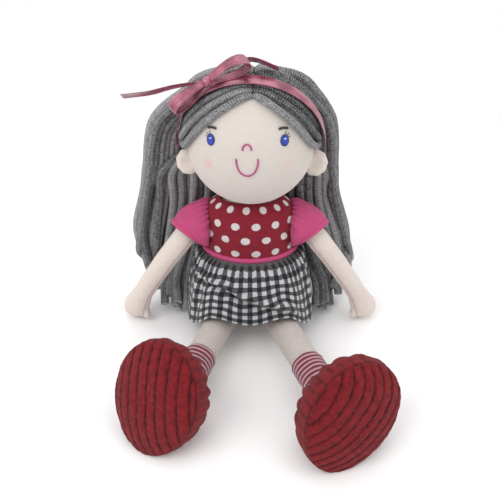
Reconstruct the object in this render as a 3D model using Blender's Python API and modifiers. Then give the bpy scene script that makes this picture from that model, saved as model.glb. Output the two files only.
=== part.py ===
"""A soft rag doll that sits with its legs stretched out in front of it.

Metres, +Z up. The doll faces -Y and its own left side is +X. The origin is the
middle of the flat seat under the torso, so Z = 0 is the surface it sits on.
"""
from math import cos, pi, radians, sin, sqrt, tan

import bmesh
import bpy
from mathutils import Matrix, Vector

# Sizes that many pieces share
CLEARANCE = 0.0004
CLOTH = 0.0012
CUTTER_OVERRUN = 0.03
CUTTER_REACH = 0.5
AXIS_CLEARANCE = 0.00001
SHARP_ANGLE = radians(50)

# Torso, from the seat up
TORSO_HEIGHT = 0.128
TORSO_WIDTH = 0.080
TORSO_DEPTH = 0.056
TORSO_CENTRE_Y = -0.008
TORSO_LEAN = -0.006
TORSO_SIDES = 28
TORSO_HEIGHT_SHARES = (0.0, 0.03, 0.12, 0.30, 0.50, 0.68, 0.80, 0.90, 0.96, 1.0)
TORSO_WIDTH_SHARES = (0.80, 0.91, 1.0, 1.04, 1.02, 1.0, 0.99, 0.93, 0.74, 0.38)
TORSO_DEPTH_SHARES = (0.76, 0.89, 1.0, 1.04, 1.02, 0.99, 0.93, 0.82, 0.64, 0.42)

# Dress
WAIST_SHARE = 0.605
BODICE_TOP_SHARE = 0.985
PIPING_HEIGHT = 0.0048
SKIRT_HALF_WIDTH = 0.0595
SKIRT_WAIST_EASE = 0.0030
SKIRT_FRONT_REACH = 0.056
SKIRT_BACK_REACH = 0.046
SKIRT_CENTRE_Y = -0.022
SKIRT_FRONT_Z = 0.0395
SKIRT_SIDE_Z = 0.0100
SKIRT_BACK_Z = 0.0025
SKIRT_DIP_DEPTH = 0.0080
SKIRT_DIP_HALF_WIDTH = 0.0120
THIGH_X = 0.0450
SKIRT_FOLD_DEPTH = 0.0017
SKIRT_FOLDS = 13
SKIRT_SIDES = 52
SKIRT_RINGS = 7
SKIRT_FLARE_POWER = 0.42
SKIRT_SQUARE_POWER = 2.8
SKIRT_RING_POWER = 1.3
SKIRT_FULL_FOLD_SHARE = 0.7

# Neck and head
NECK_RADIUS = 0.0150
NECK_PIVOT_RISE = 0.0100
NECK_PIVOT_Y = -0.012
HEAD_WIDTH = 0.105
HEAD_DEPTH = 0.090
HEAD_HEIGHT = 0.109
HEAD_FORWARD = 0.0171
HEAD_RISE = 0.0474
HEAD_TILT = radians(13)
HEAD_TURN = radians(-3.5)
HEAD_ROLL = radians(-1.2)
HEAD_SIDE = 0.0020
CHEEK_SHARE = 0.05
EAR_WIDTH = 0.021
EAR_HEIGHT = 0.023
EAR_THICKNESS = 0.0075
EAR_OUT_SHARE = 1.03
EAR_BACK_SHARE = 0.19
EAR_DROP_SHARE = 0.40

# Embroidered face, at angles round the head's centre
EYE_WIDTH = 0.0070
EYE_HEIGHT = 0.0094
EYE_LONGITUDE = radians(33.5)
EYE_LATITUDE = radians(7.5)
THREAD_RADIUS = 0.0008
EMBROIDERY_LIFT = 0.0004
EMBROIDERY_THICKNESS = 0.0006
BROW_LENGTH = 0.0060
BROW_HEIGHT = 0.0012
BROW_LATITUDE = radians(18)
NOSE_WIDTH = 0.0072
NOSE_HEIGHT = 0.0050
NOSE_LATITUDE = radians(1.5)
MOUTH_WIDTH = 0.0165
MOUTH_HEIGHT = 0.0150
MOUTH_LATITUDE = radians(-7)

# Yarn hair
HAIR_LIFT = 0.0066
HAIR_THICKNESS = 0.0050
STRAND_RIPPLE = 0.0009
HAIR_STRANDS = 11
HAIR_STEPS = 12
PARTING_GAP = 0.0024
PARTING_X = 0.0035
HAIR_FRONT_ANGLE = radians(46)
HAIR_BACK_ANGLE = radians(208)
HAIR_EAR_SHARE = 0.15
HAIR_EAR_ROUND = radians(88)
HAIR_NAPE_ROUND = radians(152)
HAIR_EAR_LATITUDE = radians(0)
HAIR_NAPE_LATITUDE = radians(-30)
HAIR_SAG = Vector((0, 0.07, -0.345))
LOCK_RADIUS = 0.0055
LOCK_END_RADIUS = 0.0038
LOCK_COUNT = 4
LOCK_POINTS = 11
LOCK_ROW_DEPTH = 0.0070
LOCK_FIRST_ROUND = radians(99)
LOCK_LAST_ROUND = radians(146)
LOCK_FIRST_RISE = radians(38)
LOCK_LAST_RISE = radians(-17)
LEFT_HAIR_REACH = 0.100
RIGHT_HAIR_REACH = 0.110
HAIR_INNER_REACH = 0.052
HAIR_BACK_Y = 0.0135
HAIR_BULGE_Z = 0.140
HAIR_END_Z = 0.0072
LOCK_END_RISE = 0.024
LEFT_LOCK_SINK = 0.0003
RIGHT_LOCK_SINK = 0.0009

# Satin ribbon and its bow
RIBBON_WIDTH = 0.0110
RIBBON_THICKNESS = 0.0006
BAND_SPAN = radians(84)
BAND_STEPS = 26
BAND_SLOPE = radians(26)
BAND_FORWARD = 0.0025
BAND_EASE = 0.0009
KNOT_ANGLE = radians(-29)
KNOT_SIZE = 0.0085
LOOP_STEPS = 16
UPPER_LOOP_LENGTH = 0.038
LOWER_LOOP_LENGTH = 0.036
LOOP_HEIGHT = 0.0130
TAIL_STEPS = 10
LONG_TAIL_LENGTH = 0.066
SHORT_TAIL_LENGTH = 0.055
LONG_TAIL_SETBACK = 0.0026
SHORT_TAIL_SETBACK = 0.0112

# Arms, given from the shoulder seam outwards
SHOULDER_Y = -0.012
SHOULDER_HEIGHT_SHARE = 0.836
ARM_REACH = 0.070
ARM_FORWARD = 0.018
ARM_DROP = 0.1005
ARM_RADIUS = 0.0105
HAND_RADIUS = 0.0126
THUMB_LENGTH = 0.0150
THUMB_RADIUS = 0.0046
ARM_SIDES = 16
SLEEVE_RADIUS = 0.0188
SLEEVE_TUCK = 0.0060
SLEEVE_SIDES = 20

# Legs, along their own length from the hip
HIP_X = 0.018
HIP_Y = -0.028
HIP_Z = 0.0170
HIP_RADIUS = 0.0140
LEG_RADIUS = 0.0134
ANKLE_RADIUS = 0.0124
LEG_SIDES = 20
RIGHT_LEG_LENGTH = 0.122
LEFT_LEG_LENGTH = 0.134
RIGHT_SPLAY = radians(-18.7)
LEFT_SPLAY = radians(20)
LEG_RISE = radians(3.4)
KNEE_UP_LIMIT = radians(15)
SOCK_LENGTH = 0.044
SOCK_HEM = 0.0016
GUSSET_RADIUS = 0.0080

# Boots, round the middle of the sole
SOLE_LENGTH = 0.094
SOLE_WIDTH = 0.076
SOLE_DOME = 0.0085
RIGHT_BOOT_DEPTH = 0.0357
LEFT_BOOT_DEPTH = 0.0395
RIGHT_BOOT_RISE = 0.0018
LEFT_BOOT_RISE = 0.0058
COLLAR_RADIUS = 0.0160
BOOT_SIDES = 28
RIGHT_BOOT_TILT = radians(-26)
LEFT_BOOT_TILT = radians(-15)
RIGHT_BOOT_TURN = radians(-34)
LEFT_BOOT_TURN = radians(22)
RIGHT_BOOT_TWIST = radians(0)
LEFT_BOOT_TWIST = radians(32)

LEFT, RIGHT = 1, -1
SIDE_NAMES = {LEFT: "left", RIGHT: "right"}
HAIR_REACH = {LEFT: LEFT_HAIR_REACH, RIGHT: RIGHT_HAIR_REACH}
LOCK_SINK = {LEFT: LEFT_LOCK_SINK, RIGHT: RIGHT_LOCK_SINK}

SKIN = (0.72, 0.64, 0.58)
RED = (0.30, 0.025, 0.045)
PINK = (0.62, 0.08, 0.24)
BLACK_AND_WHITE = (0.16, 0.16, 0.17)
GREY = (0.17, 0.17, 0.18)
SATIN_PINK = (0.50, 0.16, 0.22)
STRIPED = (0.42, 0.16, 0.22)
CORDUROY = (0.22, 0.022, 0.028)
BLUE = (0.03, 0.06, 0.42)
BROWN = (0.16, 0.10, 0.06)


def clear_scene():
    for old in list(bpy.data.objects):
        bpy.data.objects.remove(old, do_unlink=True)


def new_collection(name):
    collection = bpy.data.collections.new(name)
    bpy.context.scene.collection.children.link(collection)
    return collection


clear_scene()
DOLL = new_collection("rag_doll")
CUTTERS = new_collection("cutters")


def cloth_material(name, color, roughness=0.9):
    material = bpy.data.materials.new(name)
    material.use_nodes = True
    shader = material.node_tree.nodes["Principled BSDF"]
    shader.inputs["Base Color"].default_value = (*color, 1)
    shader.inputs["Roughness"].default_value = roughness
    shader.inputs["Metallic"].default_value = 0
    return material


def empty_frame(name, location, rotation=None, parent=None):
    frame = bpy.data.objects.new(name, None)
    DOLL.objects.link(frame)
    frame.parent = parent
    matrix = Matrix.Translation(location)
    frame.matrix_local = matrix @ rotation if rotation else matrix
    return frame


def add_piece(name, mesh, color, frame=None, roughness=0.9):
    piece = bpy.data.objects.new(name, mesh)
    mesh.materials.append(cloth_material(name, color, roughness))
    mesh.shade_smooth()
    mesh.set_sharp_from_angle(angle=SHARP_ANGLE)
    DOLL.objects.link(piece)
    piece.parent = frame
    return piece


def add_cutter(name, mesh, frame=None):
    cutter = bpy.data.objects.new(name, mesh)
    CUTTERS.objects.link(cutter)
    cutter.parent = frame
    cutter.hide_render = True
    cutter.display_type = "WIRE"
    return cutter


def cut(piece, cutter, operation="DIFFERENCE"):
    modifier = piece.modifiers.new(cutter.name, "BOOLEAN")
    modifier.operation = operation
    modifier.object = cutter
    modifier.solver = "EXACT"


def thicken(piece, thickness, offset=-1):
    modifier = piece.modifiers.new("cloth", "SOLIDIFY")
    modifier.thickness = thickness
    modifier.offset = offset


def mesh_from_bmesh(name, shape, recalculate=True):
    if recalculate:
        bmesh.ops.recalc_face_normals(shape, faces=shape.faces)
    mesh = bpy.data.meshes.new(name)
    shape.to_mesh(mesh)
    shape.free()
    return mesh


def loft(name, rings, caps=True):
    """Skin a list of rings, each a list of as many points, and close both ends."""
    shape = bmesh.new()
    rows = [[shape.verts.new(point) for point in ring] for ring in rings]
    count = len(rings[0])
    for lower, upper in zip(rows, rows[1:]):
        for i in range(count):
            j = (i + 1) % count
            shape.faces.new((lower[i], lower[j], upper[j], upper[i]))
    if caps:
        shape.faces.new(rows[0][::-1])
        shape.faces.new(rows[-1])
    return mesh_from_bmesh(name, shape)


def sheet(name, point_at, columns, rows, outward):
    """An open surface through point_at(u, v), whose faces look along outward."""
    shape = bmesh.new()
    bmesh.ops.create_grid(shape, x_segments=columns, y_segments=rows, size=1)
    for vert in shape.verts:
        u, v = (vert.co.x + 1) / 2, (vert.co.y + 1) / 2
        vert.co = point_at(u, v)
    shape.normal_update()
    if sum((face.normal.dot(outward(face.calc_center_median())) for face in shape.faces)) < 0:
        bmesh.ops.reverse_faces(shape, faces=shape.faces)
    return mesh_from_bmesh(name, shape, recalculate=False)


def ball_mesh(name, size, segments=24, rings=16, centre=(0, 0, 0)):
    shape = bmesh.new()
    bmesh.ops.create_uvsphere(shape, u_segments=segments, v_segments=rings, radius=1)
    half = Vector(size) / 2
    for vert in shape.verts:
        vert.co = Vector((vert.co.x * half.x, vert.co.y * half.y, vert.co.z * half.z)) + Vector(centre)
    return mesh_from_bmesh(name, shape)


def box_mesh(name, low, high):
    shape = bmesh.new()
    bmesh.ops.create_cube(shape, size=1)
    low, high = Vector(low), Vector(high)
    for vert in shape.verts:
        share = vert.co + Vector((0.5, 0.5, 0.5))
        vert.co = Vector(low[k] + (high[k] - low[k]) * share[k] for k in range(3))
    return mesh_from_bmesh(name, shape)


def round_tube(name, points, radii, sides):
    """A stuffed limb: round sections square to the path, each with its own radius."""
    rings = []
    side = Vector((0, 1, 0))
    for i, point in enumerate(points):
        before, after = points[max(i - 1, 0)], points[min(i + 1, len(points) - 1)]
        along = (after - before).normalized()
        side = (side - along * side.dot(along)).normalized()
        across = along.cross(side)
        rings.append(
            [
                point + (side * cos(a) + across * sin(a)) * radii[i]
                for a in (2 * pi * k / sides for k in range(sides))
            ]
        )
    return loft(name, rings)


def turned(name, profile, segments, color, frame, roughness=0.9):
    """Turn a profile of (radius, height) points round Z with a Screw modifier."""
    shape = bmesh.new()
    verts = [shape.verts.new((radius, 0, height)) for radius, height in profile]
    closed = profile[0][0] > 0 and profile[-1][0] > 0
    for start, end in zip(verts, verts[1:] + verts[:1] if closed else verts[1:]):
        shape.edges.new((start, end))
    mesh = mesh_from_bmesh(name, shape, recalculate=False)
    piece = add_piece(name, mesh, color, frame, roughness)
    modifier = piece.modifiers.new("turn", "SCREW")
    modifier.steps = modifier.render_steps = segments
    modifier.use_merge_vertices = True
    modifier.merge_threshold = AXIS_CLEARANCE
    modifier.use_smooth_shade = True
    return piece


def smooth_path(points, count):
    """Even samples of a smooth curve through hand-placed points."""
    padded = [2 * points[0] - points[1], *points, 2 * points[-1] - points[-2]]
    samples = []
    for k in range(count):
        place = (len(points) - 1) * k / (count - 1)
        i = min(int(place), len(points) - 2)
        t = place - i
        a, b, c, d = padded[i : i + 4]
        linear, square, cube = c - a, 2 * a - 5 * b + 4 * c - d, 3 * b - a - 3 * c + d
        samples.append(b + (linear * t + square * t**2 + cube * t**3) / 2)
    return samples


def share_at(shares, place):
    """Read a table of shares at a place from 0 to 1 along TORSO_HEIGHT_SHARES."""
    heights = TORSO_HEIGHT_SHARES
    for i in range(len(heights) - 1):
        if place <= heights[i + 1]:
            t = (place - heights[i]) / (heights[i + 1] - heights[i])
            return shares[i] + (shares[i + 1] - shares[i]) * t
    return shares[-1]


# Torso and the dress on it
def torso_ring(share):
    """The outline of the torso at a share of its height."""
    half_width = TORSO_WIDTH / 2 * share_at(TORSO_WIDTH_SHARES, share)
    half_depth = TORSO_DEPTH / 2 * share_at(TORSO_DEPTH_SHARES, share)
    y = TORSO_CENTRE_Y + TORSO_LEAN * share
    angles = (2 * pi * k / TORSO_SIDES for k in range(TORSO_SIDES))
    return [Vector((half_width * cos(a), y + half_depth * sin(a), TORSO_HEIGHT * share)) for a in angles]


def torso_cloth(name, low_share, high_share, lift):
    """An open tube of cloth that lies at a height above the torso's skin."""
    between = [share for share in TORSO_HEIGHT_SHARES if low_share < share < high_share]
    shares = [low_share, *between, high_share]
    mesh = loft(name, [torso_ring(share) for share in shares], caps=False)
    shape = bmesh.new()
    shape.from_mesh(mesh)
    shape.normal_update()
    middle = Vector((0, TORSO_CENTRE_Y, 0))
    flat = Vector((1, 1, 0))
    outward = sum(face.normal.dot((face.calc_center_median() - middle) * flat) for face in shape.faces)
    if outward < 0:
        bmesh.ops.reverse_faces(shape, faces=shape.faces)
        shape.normal_update()
    for vert, normal in [(vert, vert.normal.copy()) for vert in shape.verts]:
        vert.co += normal * lift
    shape.to_mesh(mesh)
    shape.free()
    return mesh


def make_torso():
    torso = add_piece("torso", loft("torso", [torso_ring(share) for share in TORSO_HEIGHT_SHARES]), SKIN)
    hip_frame = empty_frame("leg_sweep_frame", (0, HIP_Y, HIP_Z))
    room = HIP_RADIUS + CLEARANCE
    low, high = (-CUTTER_REACH, -CUTTER_REACH, -CUTTER_REACH), (CUTTER_REACH, room, room)
    for name, angle in (("seated_leg_room", 0), ("raised_leg_room", -KNEE_UP_LIMIT)):
        cutter = add_cutter(name, box_mesh(name, low, high), hip_frame)
        cutter.rotation_euler.x = angle
        cut(torso, cutter)
    return torso


def make_bodice():
    mesh = torso_cloth("bodice", WAIST_SHARE, BODICE_TOP_SHARE, CLEARANCE + CLOTH)
    thicken(add_piece("bodice", mesh, RED), CLOTH)


def make_dressed_torso_cutter():
    """The room that the torso takes up with its bodice and piping on, for what is cut to it."""
    lift = 2 * (CLEARANCE + CLOTH) + CLEARANCE
    mesh = torso_cloth("dressed_torso", WAIST_SHARE / 2, BODICE_TOP_SHARE, lift)
    shape = bmesh.new()
    shape.from_mesh(mesh)
    bmesh.ops.holes_fill(shape, edges=[edge for edge in shape.edges if edge.is_boundary])
    return add_cutter("dressed_torso", mesh_from_bmesh("dressed_torso", shape))


def make_piping():
    rise = PIPING_HEIGHT / TORSO_HEIGHT
    lift = 2 * (CLEARANCE + CLOTH)
    mesh = torso_cloth("waist_piping", WAIST_SHARE, WAIST_SHARE + rise, lift)
    thicken(add_piece("waist_piping", mesh, PINK), CLOTH)


def hem_point(angle):
    """The skirt's lower edge: up over the thighs, down at the sides and the back."""
    front = max(0, -sin(angle))
    back = max(0, sin(angle))
    square = (abs(cos(angle)) ** SKIRT_SQUARE_POWER + front**SKIRT_SQUARE_POWER) ** (-1 / SKIRT_SQUARE_POWER)
    corner = square if front else 1
    x = SKIRT_HALF_WIDTH * cos(angle) * corner
    y = SKIRT_CENTRE_Y - SKIRT_FRONT_REACH * front * corner + SKIRT_BACK_REACH * back
    outside = min(1, max(0, (abs(x) - THIGH_X) / (SKIRT_HALF_WIDTH - THIGH_X)))
    over_thigh = (1 - outside**2 * (3 - 2 * outside)) if front else 0
    z = SKIRT_SIDE_Z + (SKIRT_FRONT_Z - SKIRT_SIDE_Z) * over_thigh
    z += (SKIRT_BACK_Z - SKIRT_SIDE_Z) * back
    dip = front * 2 ** -((x / SKIRT_DIP_HALF_WIDTH) ** 2)
    return Vector((x, y + dip * SKIRT_DIP_DEPTH / 2, z - dip * SKIRT_DIP_DEPTH))


def skirt_point(angle, fall):
    """A point of the skirt: fall runs from 0 at the waist to 1 at the hem."""
    waist_half_width = TORSO_WIDTH / 2 + SKIRT_WAIST_EASE + CLOTH
    waist_half_depth = TORSO_DEPTH / 2 + SKIRT_WAIST_EASE + CLOTH
    waist_y = TORSO_CENTRE_Y + TORSO_LEAN * WAIST_SHARE
    waist_z = TORSO_HEIGHT * WAIST_SHARE - CLEARANCE
    waist = Vector((waist_half_width * cos(angle), waist_y + waist_half_depth * sin(angle), waist_z))
    hem = hem_point(angle)
    spread = fall**SKIRT_FLARE_POWER
    fold = SKIRT_FOLD_DEPTH * sin(SKIRT_FOLDS * angle) * sin(pi * min(fall / SKIRT_FULL_FOLD_SHARE, 1) / 2)
    outward = Vector((cos(angle), sin(angle), 0))
    flat = waist.lerp(hem, spread) + outward * fold
    return Vector((flat.x, flat.y, waist.z + (hem.z - waist.z) * fall))


def make_skirt():
    rings = []
    for k in range(SKIRT_RINGS):
        fall = (k / (SKIRT_RINGS - 1)) ** SKIRT_RING_POWER
        rings.append([skirt_point(2 * pi * i / SKIRT_SIDES, fall) for i in range(SKIRT_SIDES)])
    mesh = loft("skirt", rings, caps=False)
    thicken(add_piece("skirt", mesh, BLACK_AND_WHITE), CLOTH, offset=0)


# Neck, head and face
def neck_pivot():
    return Vector((0, NECK_PIVOT_Y, TORSO_HEIGHT + NECK_PIVOT_RISE))


HEAD_CENTRE = Vector((HEAD_SIDE, -HEAD_FORWARD, HEAD_RISE))
HEAD_HALF = Vector((HEAD_WIDTH, HEAD_DEPTH, HEAD_HEIGHT)) / 2


def head_surface(direction, lift=0):
    """The point of the head's skin in a direction from its centre, lifted along its normal."""
    direction = direction.normalized()
    cheek = 1 + CHEEK_SHARE * max(0, -direction.z) * (1 - direction.z**2)
    half = Vector((HEAD_HALF.x * cheek, HEAD_HALF.y, HEAD_HALF.z))
    skin = Vector(direction[k] * half[k] for k in range(3))
    normal = Vector(direction[k] / half[k] for k in range(3)).normalized()
    return HEAD_CENTRE + skin + normal * lift


def face_direction(longitude, latitude):
    return Vector((sin(longitude) * cos(latitude), -cos(longitude) * cos(latitude), sin(latitude)))


def onto_face(longitude, latitude, right, up, lift):
    """A point right and up of a spot on the face, in metres along the skin."""
    half = (HEAD_HALF.x + HEAD_HALF.y) / 2
    longitude += right / (half * cos(latitude))
    latitude += up / HEAD_HALF.z
    return head_surface(face_direction(longitude, latitude), lift)


def make_neck(frame):
    """A stuffed ball, cut flat where it is sewn to the torso's top."""
    neck = add_piece("neck", ball_mesh("neck", (2 * NECK_RADIUS,) * 3, 16, 12), SKIN, frame)
    low = (-CUTTER_OVERRUN,) * 3
    high = (CUTTER_OVERRUN, CUTTER_OVERRUN, CLEARANCE - NECK_PIVOT_RISE)
    cut(neck, add_cutter("neck_seat", box_mesh("neck_seat", low, high), frame))


def head_mesh(name, lift=0):
    shape = bmesh.new()
    bmesh.ops.create_uvsphere(shape, u_segments=26, v_segments=16, radius=1)
    for vert in shape.verts:
        vert.co = head_surface(vert.co, lift)
    return mesh_from_bmesh(name, shape)


def make_head(frame):
    head = add_piece("head", head_mesh("head"), SKIN, frame)
    socket = ball_mesh("neck_socket", (2 * (NECK_RADIUS + CLEARANCE),) * 3, 16, 12)
    cut(head, add_cutter("neck_socket", socket, frame))


def make_ear(frame, side):
    centre = HEAD_CENTRE + Vector(
        (
            side * HEAD_HALF.x * EAR_OUT_SHARE,
            HEAD_HALF.y * EAR_BACK_SHARE,
            -HEAD_HALF.z * EAR_DROP_SHARE,
        )
    )
    name = "ear_" + SIDE_NAMES[side]
    mesh = ball_mesh(name, (EAR_WIDTH, EAR_THICKNESS, EAR_HEIGHT), 14, 10, centre)
    ear = add_piece(name, mesh, SKIN, frame)
    cut(ear, add_cutter(name + "_seat", head_mesh(name + "_seat", CLEARANCE), frame))


def make_eye(frame, side):
    """A filled oval of satin stitch that follows the curve of the face."""
    name = "eye_" + SIDE_NAMES[side]
    sides = 14
    rings = []
    for lift in (EMBROIDERY_LIFT, EMBROIDERY_LIFT + EMBROIDERY_THICKNESS):
        rings.append(
            [
                onto_face(
                    side * EYE_LONGITUDE,
                    EYE_LATITUDE,
                    EYE_WIDTH / 2 * cos(2 * pi * k / sides),
                    EYE_HEIGHT / 2 * sin(2 * pi * k / sides),
                    lift,
                )
                for k in range(sides)
            ]
        )
    add_piece(name, loft(name, rings), BLUE, frame, 0.5)


def make_stroke(name, points, color, frame):
    """One line of thick stitching, a flat-ended thread on the face."""
    radii = [THREAD_RADIUS] * len(points)
    add_piece(name, round_tube(name, points, radii, 6), color, frame, 0.6)


def arch(longitude, latitude, width, height, steps, lift):
    """Points along half an oval that opens down for a positive height."""
    angles = [pi * k / steps for k in range(steps + 1)]
    return [onto_face(longitude, latitude, -width / 2 * cos(a), height * sin(a), lift) for a in angles]


def make_face(frame):
    lift = EMBROIDERY_LIFT + THREAD_RADIUS
    for side in (LEFT, RIGHT):
        make_eye(frame, side)
        brow = arch(side * EYE_LONGITUDE, BROW_LATITUDE, BROW_LENGTH, BROW_HEIGHT, 4, lift)
        make_stroke("brow_" + SIDE_NAMES[side], brow, BROWN, frame)
    make_stroke("nose_stitch", arch(0, NOSE_LATITUDE, NOSE_WIDTH, NOSE_HEIGHT, 8, lift), PINK, frame)
    make_stroke("mouth_stitch", arch(0, MOUTH_LATITUDE, MOUTH_WIDTH, -MOUTH_HEIGHT, 12, lift), PINK, frame)


# Hair
def hair_direction(side, along, across):
    """Strands leave the middle parting and lie round the head to behind the ear."""
    angle = HAIR_FRONT_ANGLE + (HAIR_BACK_ANGLE - HAIR_FRONT_ANGLE) * across
    parting = Vector((0, -cos(angle), sin(angle)))
    behind_ear = max(0, across - HAIR_EAR_SHARE) / (1 - HAIR_EAR_SHARE)
    round_angle = HAIR_EAR_ROUND + (HAIR_NAPE_ROUND - HAIR_EAR_ROUND) * across
    latitude = HAIR_EAR_LATITUDE + (HAIR_NAPE_LATITUDE - HAIR_EAR_LATITUDE) * behind_ear
    end = face_direction(side * round_angle, latitude)
    sag = HAIR_SAG * (sin(pi * along) * (1 - across) ** 2)
    return (parting.lerp(end, along) + sag).normalized()


def crown_point(side, along, across):
    ripple = STRAND_RIPPLE * cos(2 * pi * HAIR_STRANDS * across)
    point = head_surface(hair_direction(side, along, across), HAIR_LIFT + ripple)
    edge = side * (PARTING_GAP / 2) + PARTING_X
    fade = max(0, 1 - 2 * along)
    point.x += edge * fade
    return point


def make_crown(frame, side):
    name = "hair_crown_" + SIDE_NAMES[side]
    columns, rows = HAIR_STEPS, 3 * HAIR_STRANDS
    outward = lambda point: point - HEAD_CENTRE
    mesh = sheet(name, lambda u, v: crown_point(side, u, v), columns, rows, outward)
    thicken(add_piece(name, mesh, GREY, frame), HAIR_THICKNESS)


LOCK_HEIGHT_SHARES = (1.0, 0.74, 0.36, 0.10, 0.0)
LOCK_OUT_SHARES = {
    RIGHT: (0.86, 0.92, 0.98, 0.98, 0.93),
    LEFT: (0.775, 0.81, 0.93, 1.0, 1.0),
}
LOCK_IN_SHARES = (0.80, 0.80, 1.04, 1.22, 1.24)
LOCK_BACK_SHARES = (1.0, 1.0, 0.85, 0.65, 0.40)
LOCK_DEPTH_SHARES = (1.0, 1.0, 0.9, 0.3, -0.60)
LOCK_BULGE_SHARES = (0.72, 0.25, 0.36)


def lock_start(tilt, side, share):
    """Where a bunch leaves the hair on the head, from high at the band to low at the back."""
    round_angle = LOCK_FIRST_ROUND + (LOCK_LAST_ROUND - LOCK_FIRST_ROUND) * share
    direction = face_direction(side * round_angle, 0)
    direction.z = tan(LOCK_FIRST_RISE + (LOCK_LAST_RISE - LOCK_FIRST_RISE) * share)
    lift = HAIR_LIFT - LOCK_SINK[side] + LOCK_END_RADIUS
    return neck_pivot() + tilt.to_3x3() @ head_surface(direction, lift)


def lock_route(tilt, side, index):
    """One bunch of yarn from the head to the floor, the outermost first."""
    share = index / (LOCK_COUNT - 1)
    hanging = []
    end_z = HAIR_END_Z + LOCK_END_RISE * (1 - share) ** 2
    for i, height in enumerate(LOCK_HEIGHT_SHARES):
        outer = HAIR_REACH[side] * LOCK_OUT_SHARES[side][i]
        inner = HAIR_INNER_REACH * LOCK_IN_SHARES[i]
        y = HAIR_BACK_Y * LOCK_BACK_SHARES[i] + LOCK_ROW_DEPTH * LOCK_DEPTH_SHARES[i] * index
        z = end_z + (HAIR_BULGE_Z - end_z) * height
        hanging.append(Vector((side * (outer + (inner - outer) * share), y, z)))
    start = lock_start(tilt, side, share)
    fall = hanging[0] - start
    bulge = start + Vector(fall[k] * LOCK_BULGE_SHARES[k] for k in range(3))
    return smooth_path([start, bulge, *hanging], LOCK_POINTS)


def make_lock(frame, tilt, side, index):
    name = f"hair_lock_{SIDE_NAMES[side]}_{index + 1}"
    to_head = (Matrix.Translation(neck_pivot()) @ tilt).inverted()
    points = [to_head @ point for point in lock_route(tilt, side, index)]
    radii = [LOCK_RADIUS] * len(points)
    radii[0] = radii[-1] = LOCK_END_RADIUS
    add_piece(name, round_tube(name, points, radii, 8), GREY, frame)


# Ribbon
def band_point(angle, lift):
    """The ribbon's path: a tilted hoop round the hair, from ear to ear."""
    slope = Vector((0, -sin(BAND_SLOPE), cos(BAND_SLOPE)))
    ray = Vector((sin(angle), 0, 0)) + slope * cos(angle)
    start = Vector((0, -BAND_FORWARD, 0))
    half = HEAD_HALF + Vector((lift, lift, lift))
    a = sum((ray[k] / half[k]) ** 2 for k in range(3))
    b = sum(2 * start[k] * ray[k] / half[k] ** 2 for k in range(3))
    c = sum((start[k] / half[k]) ** 2 for k in range(3)) - 1
    reach = (-b + sqrt(b * b - 4 * a * c)) / (2 * a)
    return HEAD_CENTRE + start + ray * reach


def ribbon(name, path, across, width_shares, frame):
    """A strip of ribbon along a path, laid in one cross direction and gathered by its width shares."""
    shape = bmesh.new()
    rows = []
    for point, share in zip(path, width_shares):
        half = across.normalized() * (RIBBON_WIDTH / 2 * share)
        rows.append((shape.verts.new(point - half), shape.verts.new(point + half)))
    for before, after in zip(rows, rows[1:]):
        shape.faces.new((before[0], before[1], after[1], after[0]))
    mesh = mesh_from_bmesh(name, shape, recalculate=False)
    thicken(add_piece(name, mesh, SATIN_PINK, frame, 0.35), RIBBON_THICKNESS, offset=0)


def band_lift():
    return HAIR_LIFT + STRAND_RIPPLE + CLEARANCE + RIBBON_THICKNESS + BAND_EASE


def make_band(frame):
    angles = [BAND_SPAN * (2 * k / BAND_STEPS - 1) for k in range(BAND_STEPS + 1)]
    path = [band_point(angle, band_lift()) for angle in angles]
    across = Vector((0, cos(BAND_SLOPE), sin(BAND_SLOPE)))
    ribbon("ribbon_band", path, across, [1] * len(path), frame)


LONG_TAIL_SHARES = ((0, 0), (-0.33, -0.055), (-0.66, -0.13), (-0.98, -0.17))
SHORT_TAIL_SHARES = ((0, 0), (0.30, 0.17), (0.62, 0.27), (1.0, 0.14))
UPPER_LOOP_ALONG = Vector((0.86, -0.03, 0.54)).normalized()
LOWER_LOOP_ALONG = Vector((-0.76, -0.32, -0.60)).normalized()
LOOP_GAP_SHARE = 0.04
GATHER_SHARE = 0.45
TAIL_SPREAD_SHARE = 0.19
LOOP_ACROSS = Vector((0, 0.91, 0.42))
TAIL_ACROSS = Vector((0, 0.9, -0.44))


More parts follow.
